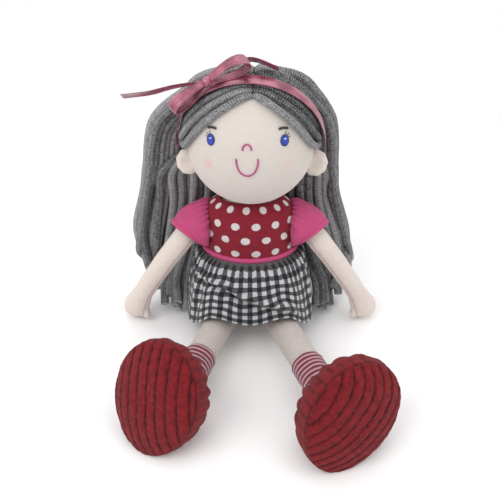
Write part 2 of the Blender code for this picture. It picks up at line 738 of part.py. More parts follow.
def make_bow(frame):
    seat = band_point(KNOT_ANGLE, band_lift())
    outward = (seat - HEAD_CENTRE).normalized()
    knot_centre = seat + outward * (KNOT_SIZE / 2 + RIBBON_THICKNESS + CLEARANCE)
    bow = empty_frame("bow_frame", knot_centre, None, frame)
    add_piece("bow_knot", ball_mesh("bow_knot", (KNOT_SIZE,) * 3, 12, 8), SATIN_PINK, bow, 0.35)
    clear = KNOT_SIZE / 2 + CLEARANCE
    loops = (
        ("bow_loop_upper", UPPER_LOOP_LENGTH, UPPER_LOOP_ALONG),
        ("bow_loop_lower", LOWER_LOOP_LENGTH, LOWER_LOOP_ALONG),
    )
    for name, length, along in loops:
        up = LOOP_ACROSS.cross(along).normalized()
        path, width_shares = [], []
        for k in range(LOOP_STEPS + 1):
            t = LOOP_GAP_SHARE + (1 - 2 * LOOP_GAP_SHARE) * k / LOOP_STEPS
            reach = clear + length * (sin(pi * t) - sin(pi * LOOP_GAP_SHARE))
            path.append(along * reach + up * (LOOP_HEIGHT / 2 * sin(2 * pi * t)))
            width_shares.append(GATHER_SHARE + (1 - GATHER_SHARE) * sin(pi * t))
        ribbon(name, path, LOOP_ACROSS, width_shares, bow)
    tails = (
        ("bow_tail_long", LONG_TAIL_LENGTH, LONG_TAIL_SHARES, clear, LONG_TAIL_SETBACK),
        ("bow_tail_short", SHORT_TAIL_LENGTH, SHORT_TAIL_SHARES, 0, SHORT_TAIL_SETBACK),
    )
    for name, length, shares, start, setback in tails:
        corners = [Vector((length * x, setback, length * z)) for x, z in shares]
        path = [point + corners[-1].normalized() * start for point in smooth_path(corners, TAIL_STEPS + 1)]
        spread = [GATHER_SHARE + k * TAIL_SPREAD_SHARE for k in range(TAIL_STEPS + 1)]
        ribbon(name, path, TAIL_ACROSS, [min(1, share) for share in spread], bow)


# Arms
def shoulder_x():
    """The arm starts just outside the bodice."""
    return TORSO_WIDTH / 2 + CLOTH + 2 * CLEARANCE


ARM_OUT_SHARES = (0.0, 0.09, 0.24, 0.50, 0.74, 0.84, 0.96, 1.0, 1.0)
ARM_FORWARD_SHARES = (0.0, 0.16, 0.50, 0.80, 0.92, 0.90, 0.70, 0.58, 0.54)
ARM_DROP_SHARES = (0.0, 0.03, 0.14, 0.37, 0.62, 0.74, 0.92, 0.99, 1.035)
ARM_RADIUS_SHARES = (0.86, 1.0, 1.0, 0.96, 0.92, 0.90, 1.20, 1.0, 0.45)
THUMB_PLACE_SHARES = (0.72, 0.50, 0.36)
THUMB_LEAN = radians(18)
THUMB_SPREAD = radians(28)


def make_arm(side):
    name = "arm_" + SIDE_NAMES[side]
    points = [
        Vector((side * ARM_REACH * out, -ARM_FORWARD * forward, -ARM_DROP * drop))
        for out, forward, drop in zip(ARM_OUT_SHARES, ARM_FORWARD_SHARES, ARM_DROP_SHARES)
    ]
    radii = [ARM_RADIUS * share for share in ARM_RADIUS_SHARES]
    frame = empty_frame(name + "_frame", (side * shoulder_x(), SHOULDER_Y, TORSO_HEIGHT * SHOULDER_HEIGHT_SHARE))
    arm = add_piece(name, round_tube(name, points, radii, ARM_SIDES), SKIN, frame)
    low, high = (-CUTTER_OVERRUN,) * 3, (0, CUTTER_OVERRUN, CUTTER_OVERRUN)
    cutter = add_cutter(name + "_seam", box_mesh(name + "_seam", low, high), frame)
    cutter.scale.x = side
    cut(arm, cutter)
    hand = points[-3]
    thumb = ball_mesh(name + "_thumb", (2 * THUMB_RADIUS, 2 * THUMB_RADIUS, THUMB_LENGTH), 12, 8)
    thumb_cutter = add_cutter(name + "_thumb", thumb, frame)
    inward, forward, down = (HAND_RADIUS * share for share in THUMB_PLACE_SHARES)
    thumb_cutter.location = hand + Vector((-side * inward, -forward, -down))
    thumb_cutter.rotation_euler = (-THUMB_LEAN, side * THUMB_SPREAD, 0)
    cut(arm, thumb_cutter, "UNION")
    return frame


SLEEVE_ALONG_SHARES = (0.0, 0.18, 0.42, 0.70, 0.90, 1.0)
SLEEVE_RADIUS_SHARES = (0.86, 0.98, 1.02, 1.02, 1.0, 0.97)
SLEEVE_END_SHARES = (0.238, 0.50, 0.130)
SLEEVE_END_AXIS = Vector((0.66, -0.20, -0.72)).normalized()


def make_sleeve(side, frame, dressed_torso):
    """A puffed cap sleeve that turns down round the upper arm."""
    name = "sleeve_" + SIDE_NAMES[side]
    start = Vector((-side * SLEEVE_TUCK, 0, 0))
    out, forward, down = SLEEVE_END_SHARES
    end = Vector((side * ARM_REACH * out, -ARM_FORWARD * forward, -ARM_DROP * down))
    first = Vector((side, 0, 0))
    last = Vector((side * SLEEVE_END_AXIS.x, SLEEVE_END_AXIS.y, SLEEVE_END_AXIS.z))
    rings = []
    for along, share in zip(SLEEVE_ALONG_SHARES, SLEEVE_RADIUS_SHARES):
        centre = start.lerp(end, along)
        axis = first.lerp(last, along).normalized()
        across = axis.cross(Vector((0, 1, 0))).normalized()
        depth = across.cross(axis)
        radius = SLEEVE_RADIUS * share
        rings.append(
            [
                centre + (across * cos(a) + depth * sin(a)) * radius
                for a in (2 * pi * k / SLEEVE_SIDES for k in range(SLEEVE_SIDES))
            ]
        )
    sleeve = add_piece(name, loft(name, rings, caps=False), PINK, frame)
    thicken(sleeve, CLOTH, offset=0)
    cut(sleeve, dressed_torso)


# Legs
LEG_ALONG_SHARES = (0.12, 0.30, 0.55, 0.80, 1.0)


def leg_radius(share):
    """The stuffed leg swells a little at the thigh and tapers to the ankle."""
    return ANKLE_RADIUS + (LEG_RADIUS - ANKLE_RADIUS) * (1 - share)


def make_leg(side, length, frame):
    name = "leg_" + SIDE_NAMES[side]
    cap_steps = 6
    profile = []
    for k in range(cap_steps + 1):
        angle = pi / 2 * k / cap_steps
        profile.append((HIP_RADIUS * sin(angle), HIP_RADIUS * cos(angle)))
    profile += [(leg_radius(share), -length * share) for share in LEG_ALONG_SHARES]
    profile.append((0, -length))
    turned(name, profile, LEG_SIDES, SKIN, frame)


def make_sock(side, length, frame):
    """A knitted tube over the lower leg, with a turned top edge."""
    name = "sock_" + SIDE_NAMES[side]
    steps = 4
    shares = [1 - SOCK_LENGTH / length * (1 - k / steps) for k in range(steps + 1)]
    outer = [(leg_radius(share) + CLEARANCE + CLOTH, -length * share) for share in shares]
    inner = [(leg_radius(share) + CLEARANCE, -length * share) for share in reversed(shares)]
    top_radius = outer[0][0] - CLOTH / 2
    crest = (top_radius, outer[0][1] + SOCK_HEM / 2)
    turned(name, [crest, *outer, *inner], LEG_SIDES, STRIPED, frame)


TOE_SHARE = 0.05


def oval(share, depth):
    """The sole's outline, a little fuller at the toe, scaled by share."""
    points = []
    for k in range(BOOT_SIDES):
        a = 2 * pi * k / BOOT_SIDES
        toe = 1 + TOE_SHARE * sin(a)
        x = SOLE_WIDTH / 2 * share * cos(a) * toe
        points.append(Vector((x, depth, SOLE_LENGTH / 2 * share * sin(a))))
    return points


SOLE_SHARES = (1.0, 0.985, 0.90, 0.68, 0.36)
DOME_SHARES = (0.0, 0.34, 0.68, 0.90, 1.0)


def make_sole(side, frame):
    name = "boot_sole_" + SIDE_NAMES[side]
    rings = [oval(share, -SOLE_DOME * dome) for share, dome in zip(SOLE_SHARES, DOME_SHARES)]
    return add_piece(name, loft(name, rings), CORDUROY, frame)


UPPER_DEPTH_SHARES = (0.0, 0.10, 0.30, 0.55, 0.80, 1.0)
UPPER_SPREAD_SHARES = (0.0, 0.42, 0.74, 0.92, 1.0, 1.0)


def make_upper(side, frame, leg_frame, length):
    """The stuffed boot between the round collar and the oval sole seam."""
    name = "boot_upper_" + SIDE_NAMES[side]
    bpy.context.view_layer.update()
    to_boot = frame.matrix_world.inverted() @ leg_frame.matrix_world
    outline = oval(1, CLEARANCE)
    down = (to_boot.to_3x3() @ Vector((0, 0, -1))).normalized()
    right = Vector((1, 0, 0))
    right = (right - down * right.dot(down)).normalized()
    up = down.cross(right)
    up = up if up.z > 0 else -up
    centre = to_boot @ Vector((0, 0, -length - CLEARANCE))
    collar = []
    for point in outline:
        a = Vector((point.x / SOLE_WIDTH, point.z / SOLE_LENGTH)).normalized()
        collar.append(centre + (right * a.x + up * a.y) * COLLAR_RADIUS)
    rings = []
    for depth, spread in zip(UPPER_DEPTH_SHARES, UPPER_SPREAD_SHARES):
        ring = []
        for inner, outer in zip(collar, outline):
            ring.append(
                Vector(
                    (
                        inner.x + (outer.x - inner.x) * spread,
                        inner.y + (outer.y - inner.y) * depth,
                        inner.z + (outer.z - inner.z) * spread,
                    )
                )
            )
        rings.append(ring)
    return add_piece(name, loft(name, rings), CORDUROY, frame)


def make_leg_side(side, length, splay, turn, tilt, twist, depth, rise, floor):
    """One leg with its sock and boot, each in the frame that it hangs from."""
    hip = Vector((side * HIP_X, HIP_Y, HIP_Z))
    point_forward = Matrix.Rotation(radians(-90), 4, "X")
    swing = Matrix.Rotation(splay, 4, "Z") @ Matrix.Rotation(-LEG_RISE, 4, "X") @ point_forward
    leg_frame = empty_frame(f"leg_{SIDE_NAMES[side]}_frame", hip, swing)
    make_leg(side, length, leg_frame)
    make_sock(side, length, leg_frame)
    ankle = hip + swing.to_3x3() @ Vector((0, 0, -length))
    facing = Matrix.Rotation(turn, 4, "Z") @ Matrix.Rotation(tilt, 4, "X")
    sole_centre = ankle + facing.to_3x3() @ Vector((0, -depth, 0)) + Vector((0, 0, rise))
    boot_frame = empty_frame(
        f"boot_{SIDE_NAMES[side]}_frame", sole_centre, facing @ Matrix.Rotation(twist, 4, "Y")
    )
    for piece in (make_sole(side, boot_frame), make_upper(side, boot_frame, leg_frame, length)):
        cut(piece, floor)


def make_floor_cutter():
    reach = CUTTER_REACH
    low, high = (-reach, -reach, -reach), (reach, reach, 0)
    return add_cutter("surface_under_the_doll", box_mesh("surface_under_the_doll", low, high))


def make_gusset():
    """The short roll of cloth between the two legs, on the hip seam."""
    half = HIP_X - HIP_RADIUS - CLEARANCE
    name = "hip_gusset"
    frame = empty_frame(name + "_frame", (0, HIP_Y, HIP_Z), Matrix.Rotation(radians(90), 4, "Y"))
    turned(name, [(0, half), (GUSSET_RADIUS, half), (GUSSET_RADIUS, -half), (0, -half)], 16, SKIN, frame)


def build():
    make_torso()
    make_bodice()
    make_piping()
    make_skirt()
    make_gusset()
    neck_frame = empty_frame("neck_frame", neck_pivot())
    make_neck(neck_frame)
    tilt = (
        Matrix.Rotation(HEAD_TURN, 4, "Z")
        @ Matrix.Rotation(HEAD_ROLL, 4, "Y")
        @ Matrix.Rotation(-HEAD_TILT, 4, "X")
    )
    head_frame = empty_frame("head_frame", neck_pivot(), tilt)
    make_head(head_frame)
    make_face(head_frame)
    make_band(head_frame)
    make_bow(head_frame)
    dressed_torso = make_dressed_torso_cutter()
    for side in (LEFT, RIGHT):
        make_ear(head_frame, side)
        make_crown(head_frame, side)
        for index in range(LOCK_COUNT):
            make_lock(head_frame, tilt, side, index)
        make_sleeve(side, make_arm(side), dressed_torso)
    floor = make_floor_cutter()
    left_boot = (LEFT_BOOT_TURN, LEFT_BOOT_TILT, LEFT_BOOT_TWIST, LEFT_BOOT_DEPTH, LEFT_BOOT_RISE)
    right_boot = (RIGHT_BOOT_TURN, RIGHT_BOOT_TILT, RIGHT_BOOT_TWIST, RIGHT_BOOT_DEPTH, RIGHT_BOOT_RISE)
    make_leg_side(LEFT, LEFT_LEG_LENGTH, LEFT_SPLAY, *left_boot, floor)
    make_leg_side(RIGHT, RIGHT_LEG_LENGTH, RIGHT_SPLAY, *right_boot, floor)


build()
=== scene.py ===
from math import cos, pi, radians, sin, sqrt, tan

import bmesh
import bpy
import numpy as np
from mathutils import Matrix, Vector, noise
from mathutils.bvhtree import BVHTree


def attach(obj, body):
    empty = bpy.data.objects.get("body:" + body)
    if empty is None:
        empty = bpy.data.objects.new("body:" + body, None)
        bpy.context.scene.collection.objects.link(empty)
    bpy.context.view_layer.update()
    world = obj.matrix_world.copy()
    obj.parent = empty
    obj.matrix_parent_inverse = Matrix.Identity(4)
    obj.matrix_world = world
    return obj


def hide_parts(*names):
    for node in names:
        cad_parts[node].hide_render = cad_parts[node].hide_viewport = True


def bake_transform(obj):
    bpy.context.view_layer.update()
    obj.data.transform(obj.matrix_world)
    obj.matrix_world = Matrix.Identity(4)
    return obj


NOISE_SEED = 3
noise.seed_set(NOISE_SEED)
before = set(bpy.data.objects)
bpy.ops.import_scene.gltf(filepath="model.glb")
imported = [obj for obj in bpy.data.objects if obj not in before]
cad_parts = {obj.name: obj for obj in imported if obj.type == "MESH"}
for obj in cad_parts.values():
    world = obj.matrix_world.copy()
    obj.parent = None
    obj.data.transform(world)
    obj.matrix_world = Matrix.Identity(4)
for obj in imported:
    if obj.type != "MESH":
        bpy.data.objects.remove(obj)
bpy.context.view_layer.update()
scene = bpy.context.scene


# Short ways to make nodes, objects, modifiers and meshes, which every section below uses.
def add_node(tree, kind, inputs=(), **settings):
    """A node with its settings, and each input linked to an output or given a value."""
    made = tree.nodes.new(kind)
    for setting, value in settings.items():
        setattr(made, setting, value)
    for socket, value in dict(inputs).items():
        if isinstance(value, bpy.types.NodeSocket):
            tree.links.new(value, made.inputs[socket])
        else:
            made.inputs[socket].default_value = value
    return made


def in_scene(name, data):
    made = bpy.data.objects.new(name, data)
    scene.collection.objects.link(made)
    return made


def modify(work, kind, **settings):
    made = work.modifiers.new(kind.lower(), kind)
    for setting, value in settings.items():
        setattr(made, setting, value)
    return made


def baked(work):
    """The object's mesh with its modifiers applied, and the working object gone."""
    graph = bpy.context.evaluated_depsgraph_get()
    mesh = bpy.data.meshes.new_from_object(work.evaluated_get(graph))
    bpy.data.objects.remove(work)
    return mesh


def mesh_of(name, shape):
    bmesh.ops.recalc_face_normals(shape, faces=shape.faces)
    mesh = bpy.data.meshes.new(name)
    shape.to_mesh(mesh)
    shape.free()
    return mesh


def join_rows(shape, rows):
    """Four-sided faces between each closed row of points and the next."""
    for low, high in zip(rows, rows[1:]):
        for k in range(len(low)):
            following = (k + 1) % len(low)
            shape.faces.new((low[k], low[following], high[following], high[k]))


def close_row(shape, row, middle):
    """Triangles that close a row of points to one in its middle."""
    for k in range(len(row)):
        shape.faces.new((row[k], row[(k + 1) % len(row)], middle))


def add_values(mesh, name, values):
    """One number for each point of a mesh, for its material to read."""
    mesh.attributes.new(name, "FLOAT", "POINT").data.foreach_set("value", values)


def lengths_along(points):
    lengths = [0.0]
    for before, after in zip(points, points[1:]):
        lengths.append(lengths[-1] + (after - before).length)
    return lengths


def angles_round(count, more=0):
    """Even angles round a circle; one more of them comes back to the first."""
    return [2 * pi * k / count for k in range(count + more)]


# Camera, pale floor and soft studio light.
# The view looks down on the doll by 36 degrees from 0.65 m, straight from its front.
LOOK_AT = Vector((0, -0.020, 0.076))
CAMERA_DISTANCE = 0.650
CAMERA_DROP = radians(36)
camera = in_scene("camera", bpy.data.cameras.new("camera"))
camera.location = LOOK_AT + CAMERA_DISTANCE * Vector((0, -cos(CAMERA_DROP), sin(CAMERA_DROP)))
camera.rotation_euler = (pi / 2 - CAMERA_DROP, 0, 0)
camera.data.lens = 50.87
camera.data.sensor_width = 36
camera.data.clip_start = 0.01
scene.camera = camera
scene.view_settings.view_transform = "Standard"

# The background is white where it is seen and a little dimmer as a light.
world = bpy.data.worlds.new("studio")
world.use_nodes = True
scene.world = world
sky = world.node_tree
ray = add_node(sky, "ShaderNodeLightPath").outputs
seen = ray["Is Camera Ray"]
for kind in ("Is Glossy Ray", "Is Transmission Ray"):
    seen = add_node(sky, "ShaderNodeMath", {0: seen, 1: ray[kind]}, operation="MAXIMUM").outputs[0]
strength = add_node(sky, "ShaderNodeMapRange", {"Value": seen, "To Min": 0.80, "To Max": 1.0})
sky.links.new(strength.outputs["Result"], sky.nodes["Background"].inputs["Strength"])
sky.nodes["Background"].inputs["Color"].default_value = (1, 1, 1, 1)

LIGHTS_AIM = Vector((0, -0.05, 0.08))
for name, spot, size, power in (
    ("key", (-0.75, -0.75, 1.15), 0.9, 8.0),
    ("fill", (0.95, -0.60, 0.75), 1.1, 3.2),
    ("top", (0.05, 0.35, 1.30), 1.2, 5.0),
):
    lamp = in_scene(name, bpy.data.lights.new(name, "AREA"))
    lamp.data.size = size
    lamp.data.energy = power
    lamp.location = spot
    lamp.rotation_euler = (LIGHTS_AIM - lamp.location).to_track_quat("-Z", "Y").to_euler()

FLOOR_HALF, FLOOR_Z = 4, -0.0004
floor_mesh = bpy.data.meshes.new("floor")
corners = [(x * FLOOR_HALF, y * FLOOR_HALF, FLOOR_Z) for x, y in ((-1, -1), (1, -1), (1, 1), (-1, 1))]
floor_mesh.from_pydata(corners, [], [(0, 1, 2, 3)])
floor = in_scene("floor", floor_mesh)
paper = bpy.data.materials.new("paper_sweep")
paper.use_nodes = True
tree = paper.node_tree
matte = tree.nodes["Principled BSDF"]
matte.inputs["Base Color"].default_value = (0.93, 0.93, 0.93, 1)
matte.inputs["Roughness"].default_value = 0.9
matte.inputs["Specular IOR Level"].default_value = 0.1
# Far from the doll the camera sees the sweep as white as the background.
ray = add_node(tree, "ShaderNodeLightPath").outputs["Is Camera Ray"]
place = add_node(tree, "ShaderNodeTexCoord").outputs["Object"]
away = add_node(tree, "ShaderNodeVectorMath", {0: place}, operation="LENGTH").outputs["Value"]
reach = {"Value": away, "From Min": 0.24, "From Max": 0.60}
far = add_node(tree, "ShaderNodeMapRange", reach, interpolation_type="SMOOTHSTEP").outputs["Result"]
share = add_node(tree, "ShaderNodeMath", {0: far, 1: ray}, operation="MULTIPLY").outputs[0]
glow = add_node(tree, "ShaderNodeEmission").outputs[0]
blend = add_node(tree, "ShaderNodeMixShader", {0: share, 1: matte.outputs[0], 2: glow})
tree.links.new(blend.outputs[0], tree.nodes["Material Output"].inputs["Surface"])
floor_mesh.materials.append(paper)


# Linen skin over polyester filling: torso, neck and the roll of cloth on the hip seam.
# They lie under the dress. Each is a sewn bag, so it is rounder than its CAD solid and has
# no flat but the seat.
LEFT, RIGHT = 1, -1
SIDE_NAMES = {LEFT: "left", RIGHT: "right"}


class Cloth:
    """A fabric's material: one shader, and short ways to wire what varies over the surface."""

    def __init__(self, name, color, roughness=0.85, sheen=0.25):
        self.material = bpy.data.materials.new(name)
        self.material.use_nodes = True
        self.tree = self.material.node_tree
        self.shader = self.tree.nodes["Principled BSDF"]
        self.shader.inputs["Base Color"].default_value = (*color, 1)
        self.shader.inputs["Roughness"].default_value = roughness
        self.shader.inputs["Specular IOR Level"].default_value = 0.25
        self.shader.inputs["Sheen Weight"].default_value = sheen
        self.shader.inputs["Sheen Roughness"].default_value = 0.5
        self.place = self.node("ShaderNodeTexCoord").outputs["Object"]

    def node(self, kind, inputs=(), **settings):
        return add_node(self.tree, kind, inputs, **settings)

    def attribute(self, name):
        return self.node("ShaderNodeAttribute", attribute_name=name).outputs["Fac"]

    def math(self, operation, a, b=0.0, c=0.0):
        return self.node("ShaderNodeMath", {0: a, 1: b, 2: c}, operation=operation).outputs[0]

    def noise(self, scale, detail=2.0, stretch=(1, 1, 1), roughness=0.5):
        vector = self.node("ShaderNodeMapping", {"Vector": self.place, "Scale": stretch}).outputs[0]
        inputs = {"Vector": vector, "Scale": scale, "Detail": detail, "Roughness": roughness}
        return self.node("ShaderNodeTexNoise", inputs).outputs["Fac"]

    def spread(self, value, low, high, to_low=0.0, to_high=1.0, smooth=False):
        inputs = {"Value": value, "From Min": low, "From Max": high, "To Min": to_low, "To Max": to_high}
        kind = "SMOOTHSTEP" if smooth else "LINEAR"
        return self.node("ShaderNodeMapRange", inputs, interpolation_type=kind).outputs["Result"]

    def mix(self, share, low, high):
        ends = [value if isinstance(value, bpy.types.NodeSocket) else (*value, 1)
                for value in (low, high)]
        inputs = {0: share, 6: ends[0], 7: ends[1]}
        return self.node("ShaderNodeMix", inputs, data_type="RGBA").outputs[2]

    def repeat(self, value, pitch=1.0):
        """The place within a pitch that repeats, from -0.5 to 0.5."""
        return self.math("SUBTRACT", self.math("FRACT", self.math("DIVIDE", value, pitch)), 0.5)

    def knit(self, pitch):
        """The slanting stitches of a knit, from -1 between them to 1 on top of each."""
        slant = self.math("MULTIPLY", self.attribute("along"), 1 / pitch)
        slant = self.math("MULTIPLY_ADD", self.attribute("wale"), 0.5, slant)
        return self.math("SINE", self.math("MULTIPLY", slant, 2 * pi))

    def color(self, value):
        self.tree.links.new(value, self.shader.inputs["Base Color"])

    def bump(self, height, depth, strength=1.0):
        made = self.node("ShaderNodeBump", {"Height": height, "Distance": depth, "Strength": strength})
        if self.shader.inputs["Normal"].is_linked:
            self.tree.links.new(self.shader.inputs["Normal"].links[0].from_socket, made.inputs["Normal"])
        self.tree.links.new(made.outputs[0], self.shader.inputs["Normal"])


def woven(cloth, light, dark, pitch, slub):
    """Fine threads both ways, with the odd thicker one across, for plain woven cotton."""
    across = cloth.noise(1 / pitch, 1.0, (0.10, 0.10, 1.6))
    down = cloth.noise(1 / pitch, 1.0, (1.6, 1.6, 0.12))
    slubs = cloth.noise(1 / (pitch * 3), 2.0, (0.06, 0.06, 2.2))
    threads = cloth.math("MULTIPLY_ADD", across, 0.5, cloth.math("MULTIPLY", down, 0.5))
    threads = cloth.math("MULTIPLY_ADD", slubs, slub, threads)
    share = cloth.spread(threads, 0.38 + slub * 0.5, 0.62 + slub * 0.5)
    cloth.bump(threads, pitch * 0.35, 0.5)
    return cloth.mix(share, dark, light)


linen = Cloth("linen", (0.73, 0.65, 0.60), 0.9, 0.15)
linen.color(woven(linen, (0.72, 0.640, 0.585), (0.64, 0.560, 0.505), 0.0006, 0.30))


def new_piece(name, mesh, material, body, *nodes):
    """A finished mesh as a piece that rides on a body and stands for CAD nodes."""
    piece = in_scene(name, mesh)
    mesh.materials.clear()
    mesh.materials.append(material)
    mesh.shade_smooth()
    if body:
        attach(piece, body)
    if nodes:
        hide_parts(*nodes)
    return piece


def node_mesh(node):
    """A copy of a CAD node's mesh with its doubled points merged."""
    shape = bmesh.new()
    shape.from_mesh(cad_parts[node].data)
    bmesh.ops.remove_doubles(shape, verts=shape.verts, dist=0.00001)
    return mesh_of(node + "_copy", shape)


def rounded(mesh, voxel, rounds, swell):
    """A stuffed bag of that shape: remeshed, its facets relaxed and then filled out again."""
    work = in_scene("work", mesh)
    modify(work, "REMESH", mode="VOXEL", voxel_size=voxel)
    modify(work, "SMOOTH", factor=0.5, iterations=rounds)
    if swell:
        modify(work, "DISPLACE", mid_level=0, strength=swell)
    return baked(work)


PRESSURE, LAST_STEP = 4, 20


def inflate(mesh, cap, held=()):
    """Presses a closed bag out with its filling by cloth simulation; no point moves beyond cap."""
    bag = in_scene("bag", mesh.copy())
    bag.vertex_groups.new(name="sewn").add(list(held), 1.0, "REPLACE")
    cloth = modify(bag, "CLOTH")
    cloth.settings.quality = 6
    cloth.settings.use_pressure = True
    cloth.settings.uniform_pressure_force = PRESSURE
    cloth.settings.effector_weights.gravity = 0
    cloth.settings.vertex_group_mass = "sewn" if held else ""
    cloth.point_cache.frame_start, cloth.point_cache.frame_end = 1, LAST_STEP
    for step in range(1, LAST_STEP + 1):
        scene.frame_set(step)
    filled = bag.evaluated_get(bpy.context.evaluated_depsgraph_get()).to_mesh()
    for before, after in zip(mesh.vertices, filled.vertices):
        move = after.co - before.co
        before.co += move * min(1, cap / max(move.length, 1e-9))
        before.co.z = max(before.co.z, 0.0)
    bpy.data.objects.remove(bag)
    scene.frame_set(1)
    return mesh


def stuffed(node, body, material, voxel, rounds, swell=0.0, cap=0.0):
    """A CAD bag rounded, and filled by simulation where it has a cap."""
    mesh = rounded(node_mesh(node), voxel, rounds, swell)
    if cap:
        work = in_scene("work", inflate(mesh, cap))
        modify(work, "SUBSURF", levels=1)
        mesh = baked(work)
    piece = new_piece("soft_" + node, mesh, material, body, node)
    return piece


stuffed("torso", "torso", linen.material, 0.0025, 4)
stuffed("neck", "neck", linen.material, 0.0015, 3)
stuffed("hip_gusset", "lap", linen.material, 0.0015, 3)


# Head: a linen bag stuffed round and firm, tipped forward on the neck, with the neck's top in a
# hollow underneath. Two flat puckered ears are sewn to its sides.
HEAD_PIVOT = Vector((0, -0.012, 0.138))
HEAD_TILT = Matrix.Rotation(radians(-3.5), 3, "Z") @ Matrix.Rotation(radians(-1.2), 3, "Y")
HEAD_TILT = HEAD_TILT @ Matrix.Rotation(radians(-13), 3, "X")
HEAD_CENTRE = Vector((0.0020, -0.0171, 0.0474))
HEAD_HALF = Vector((0.0525, 0.045, 0.0545))
NECK_HOLLOW = 0.0154


def to_world(point):
    return HEAD_PIVOT + HEAD_TILT @ point


def head_surface(direction, lift=0.0):
    """The point of the head's skin in a direction from its centre, lifted along its normal."""
    direction = direction.normalized()
    cheek = 1 + 0.05 * max(0, -direction.z) * (1 - direction.z**2)
    half = Vector((HEAD_HALF.x * cheek, HEAD_HALF.y, HEAD_HALF.z))
    skin = Vector(direction[k] * half[k] for k in range(3))
    normal = Vector(direction[k] / half[k] for k in range(3)).normalized()
    return HEAD_CENTRE + skin + normal * lift


def face_direction(longitude, latitude):
    return Vector((sin(longitude) * cos(latitude), -cos(longitude) * cos(latitude), sin(latitude)))


def onto_face(longitude, latitude, right=0.0, up=0.0, lift=0.0):
    """A point right and up of a spot on the face, in metres along the skin."""
    half = (HEAD_HALF.x + HEAD_HALF.y) / 2
    longitude += right / (half * cos(latitude))
    latitude += up / HEAD_HALF.z
    return to_world(head_surface(face_direction(longitude, latitude), lift))


skin = Cloth("face_linen", (0.72, 0.65, 0.605), 0.9, 0.15)
cloth_color = woven(skin, (0.635, 0.575, 0.540), (0.580, 0.520, 0.486), 0.0006, 0.20)
for side, reach, depth in ((RIGHT, 0.0075, 0.85), (LEFT, 0.0065, 0.40)):
    spot = onto_face(side * radians(37), radians(-12))
    away = skin.node("ShaderNodeVectorMath", {0: skin.place, 1: spot}, operation="DISTANCE")
    blush = skin.spread(away.outputs["Value"], 0.0, reach, depth, 0.0, smooth=True)
    cloth_color = skin.mix(blush, cloth_color, (0.66, 0.42, 0.44))
skin.color(cloth_color)


def ball(name, columns, rows, place):
    """A closed bag: a sphere of radius 1 whose points a function puts in the head's frame."""
    shape = bmesh.new()
    bmesh.ops.create_uvsphere(shape, u_segments=columns, v_segments=rows, radius=1)
    for vert in shape.verts:
        vert.co = to_world(place(vert.co.copy()))
    return mesh_of(name, shape)


def head_skin(way):
    """The head's skin, with the neck's hollow underneath."""
    point = head_surface(way)
    reach = point.x**2 + point.y**2
    if way.z < 0 and reach < NECK_HOLLOW**2:
        point.z = max(point.z, sqrt(NECK_HOLLOW**2 - reach))
    return point


head = new_piece("head_bag", ball("head_bag", 96, 64, head_skin), skin.material, "head", "head")

EAR_HALF = Vector((0.0105, 0.00375, 0.0115))
EAR_PLACE = Vector((HEAD_HALF.x * 1.03, HEAD_HALF.y * 0.19, -HEAD_HALF.z * 0.40))


def ear_skin(side, way):
    """A flat ear with a thinner middle and puckers, which stops at the head's skin."""
    flat = sqrt(way.x**2 + way.z**2)
    turn = np.arctan2(way.z, way.x * side)
    rim = 1 - 0.42 * max(0, 1 - (flat / 0.62) ** 2) - 0.16 * max(0, cos(3 * turn + 0.5)) * flat
    pucker = 1 + 0.022 * sin(9 * turn + side) * flat
    offset = Vector((side * EAR_PLACE.x + way.x * EAR_HALF.x * pucker,
                     EAR_PLACE.y + way.y * EAR_HALF.y * rim,
                     EAR_PLACE.z + way.z * EAR_HALF.z * pucker))
    under = head_surface(Vector(offset[k] / HEAD_HALF[k] for k in range(3)), 0.0003)
    return under if offset.length < (under - HEAD_CENTRE).length else HEAD_CENTRE + offset


for side in (LEFT, RIGHT):
    name = "ear_bag_" + SIDE_NAMES[side]
    mesh = ball(name, 64, 40, lambda way: ear_skin(side, way))
    ear = new_piece(name, mesh, linen.material, "head", "ear_" + SIDE_NAMES[side])


# Embroidered face: satin-stitched eyes with a dark outline, a light point and lashes, short brows,
# and a nose and a mouth in stem stitch.
EYE_LONGITUDE = radians(33.5)
EYE_LATITUDE = radians(9.2)
BROW_LATITUDE = radians(18.6)


def floss(name, color, stitch):
    """Embroidery floss: shiny cotton strands, lighter and darker from stitch to stitch."""
    made = Cloth(name, color, 0.55, 0.2)
    streaks = made.noise(1 / stitch, 1.0, (1.0, 1.0, 0.25))
    dark = tuple(0.55 * part for part in color)
    made.color(made.mix(made.spread(streaks, 0.35, 0.65), dark, color))
    made.bump(streaks, 0.0002, 0.8)
    return made.material


BLUE_FLOSS = floss("blue_floss", (0.030, 0.075, 0.50), 0.0008)
DARK_FLOSS = floss("dark_floss", (0.022, 0.022, 0.035), 0.0008)
BROWN_FLOSS = floss("brown_floss", (0.055, 0.036, 0.026), 0.0008)
WHITE_FLOSS = floss("white_floss", (0.80, 0.83, 0.92), 0.0008)
PINK_FLOSS = floss("pink_floss", (0.55, 0.085, 0.26), 0.0008)


def tube(shape, points, radii, sides=8):
    """Adds a closed round tube along points to a bmesh."""
    rings, across = [], Vector((0.31, 0.22, 0.92))
    for i, point in enumerate(points):
        along = (points[min(i + 1, len(points) - 1)] - points[max(i - 1, 0)]).normalized()
        across = (across - along * across.dot(along)).normalized()
        other = along.cross(across)
        rings.append([shape.verts.new(point + (across * cos(angle) + other * sin(angle)) * radii[i])
                      for angle in angles_round(sides)])
    join_rows(shape, rings)
    shape.faces.new(rings[0][::-1])
    shape.faces.new(rings[-1])


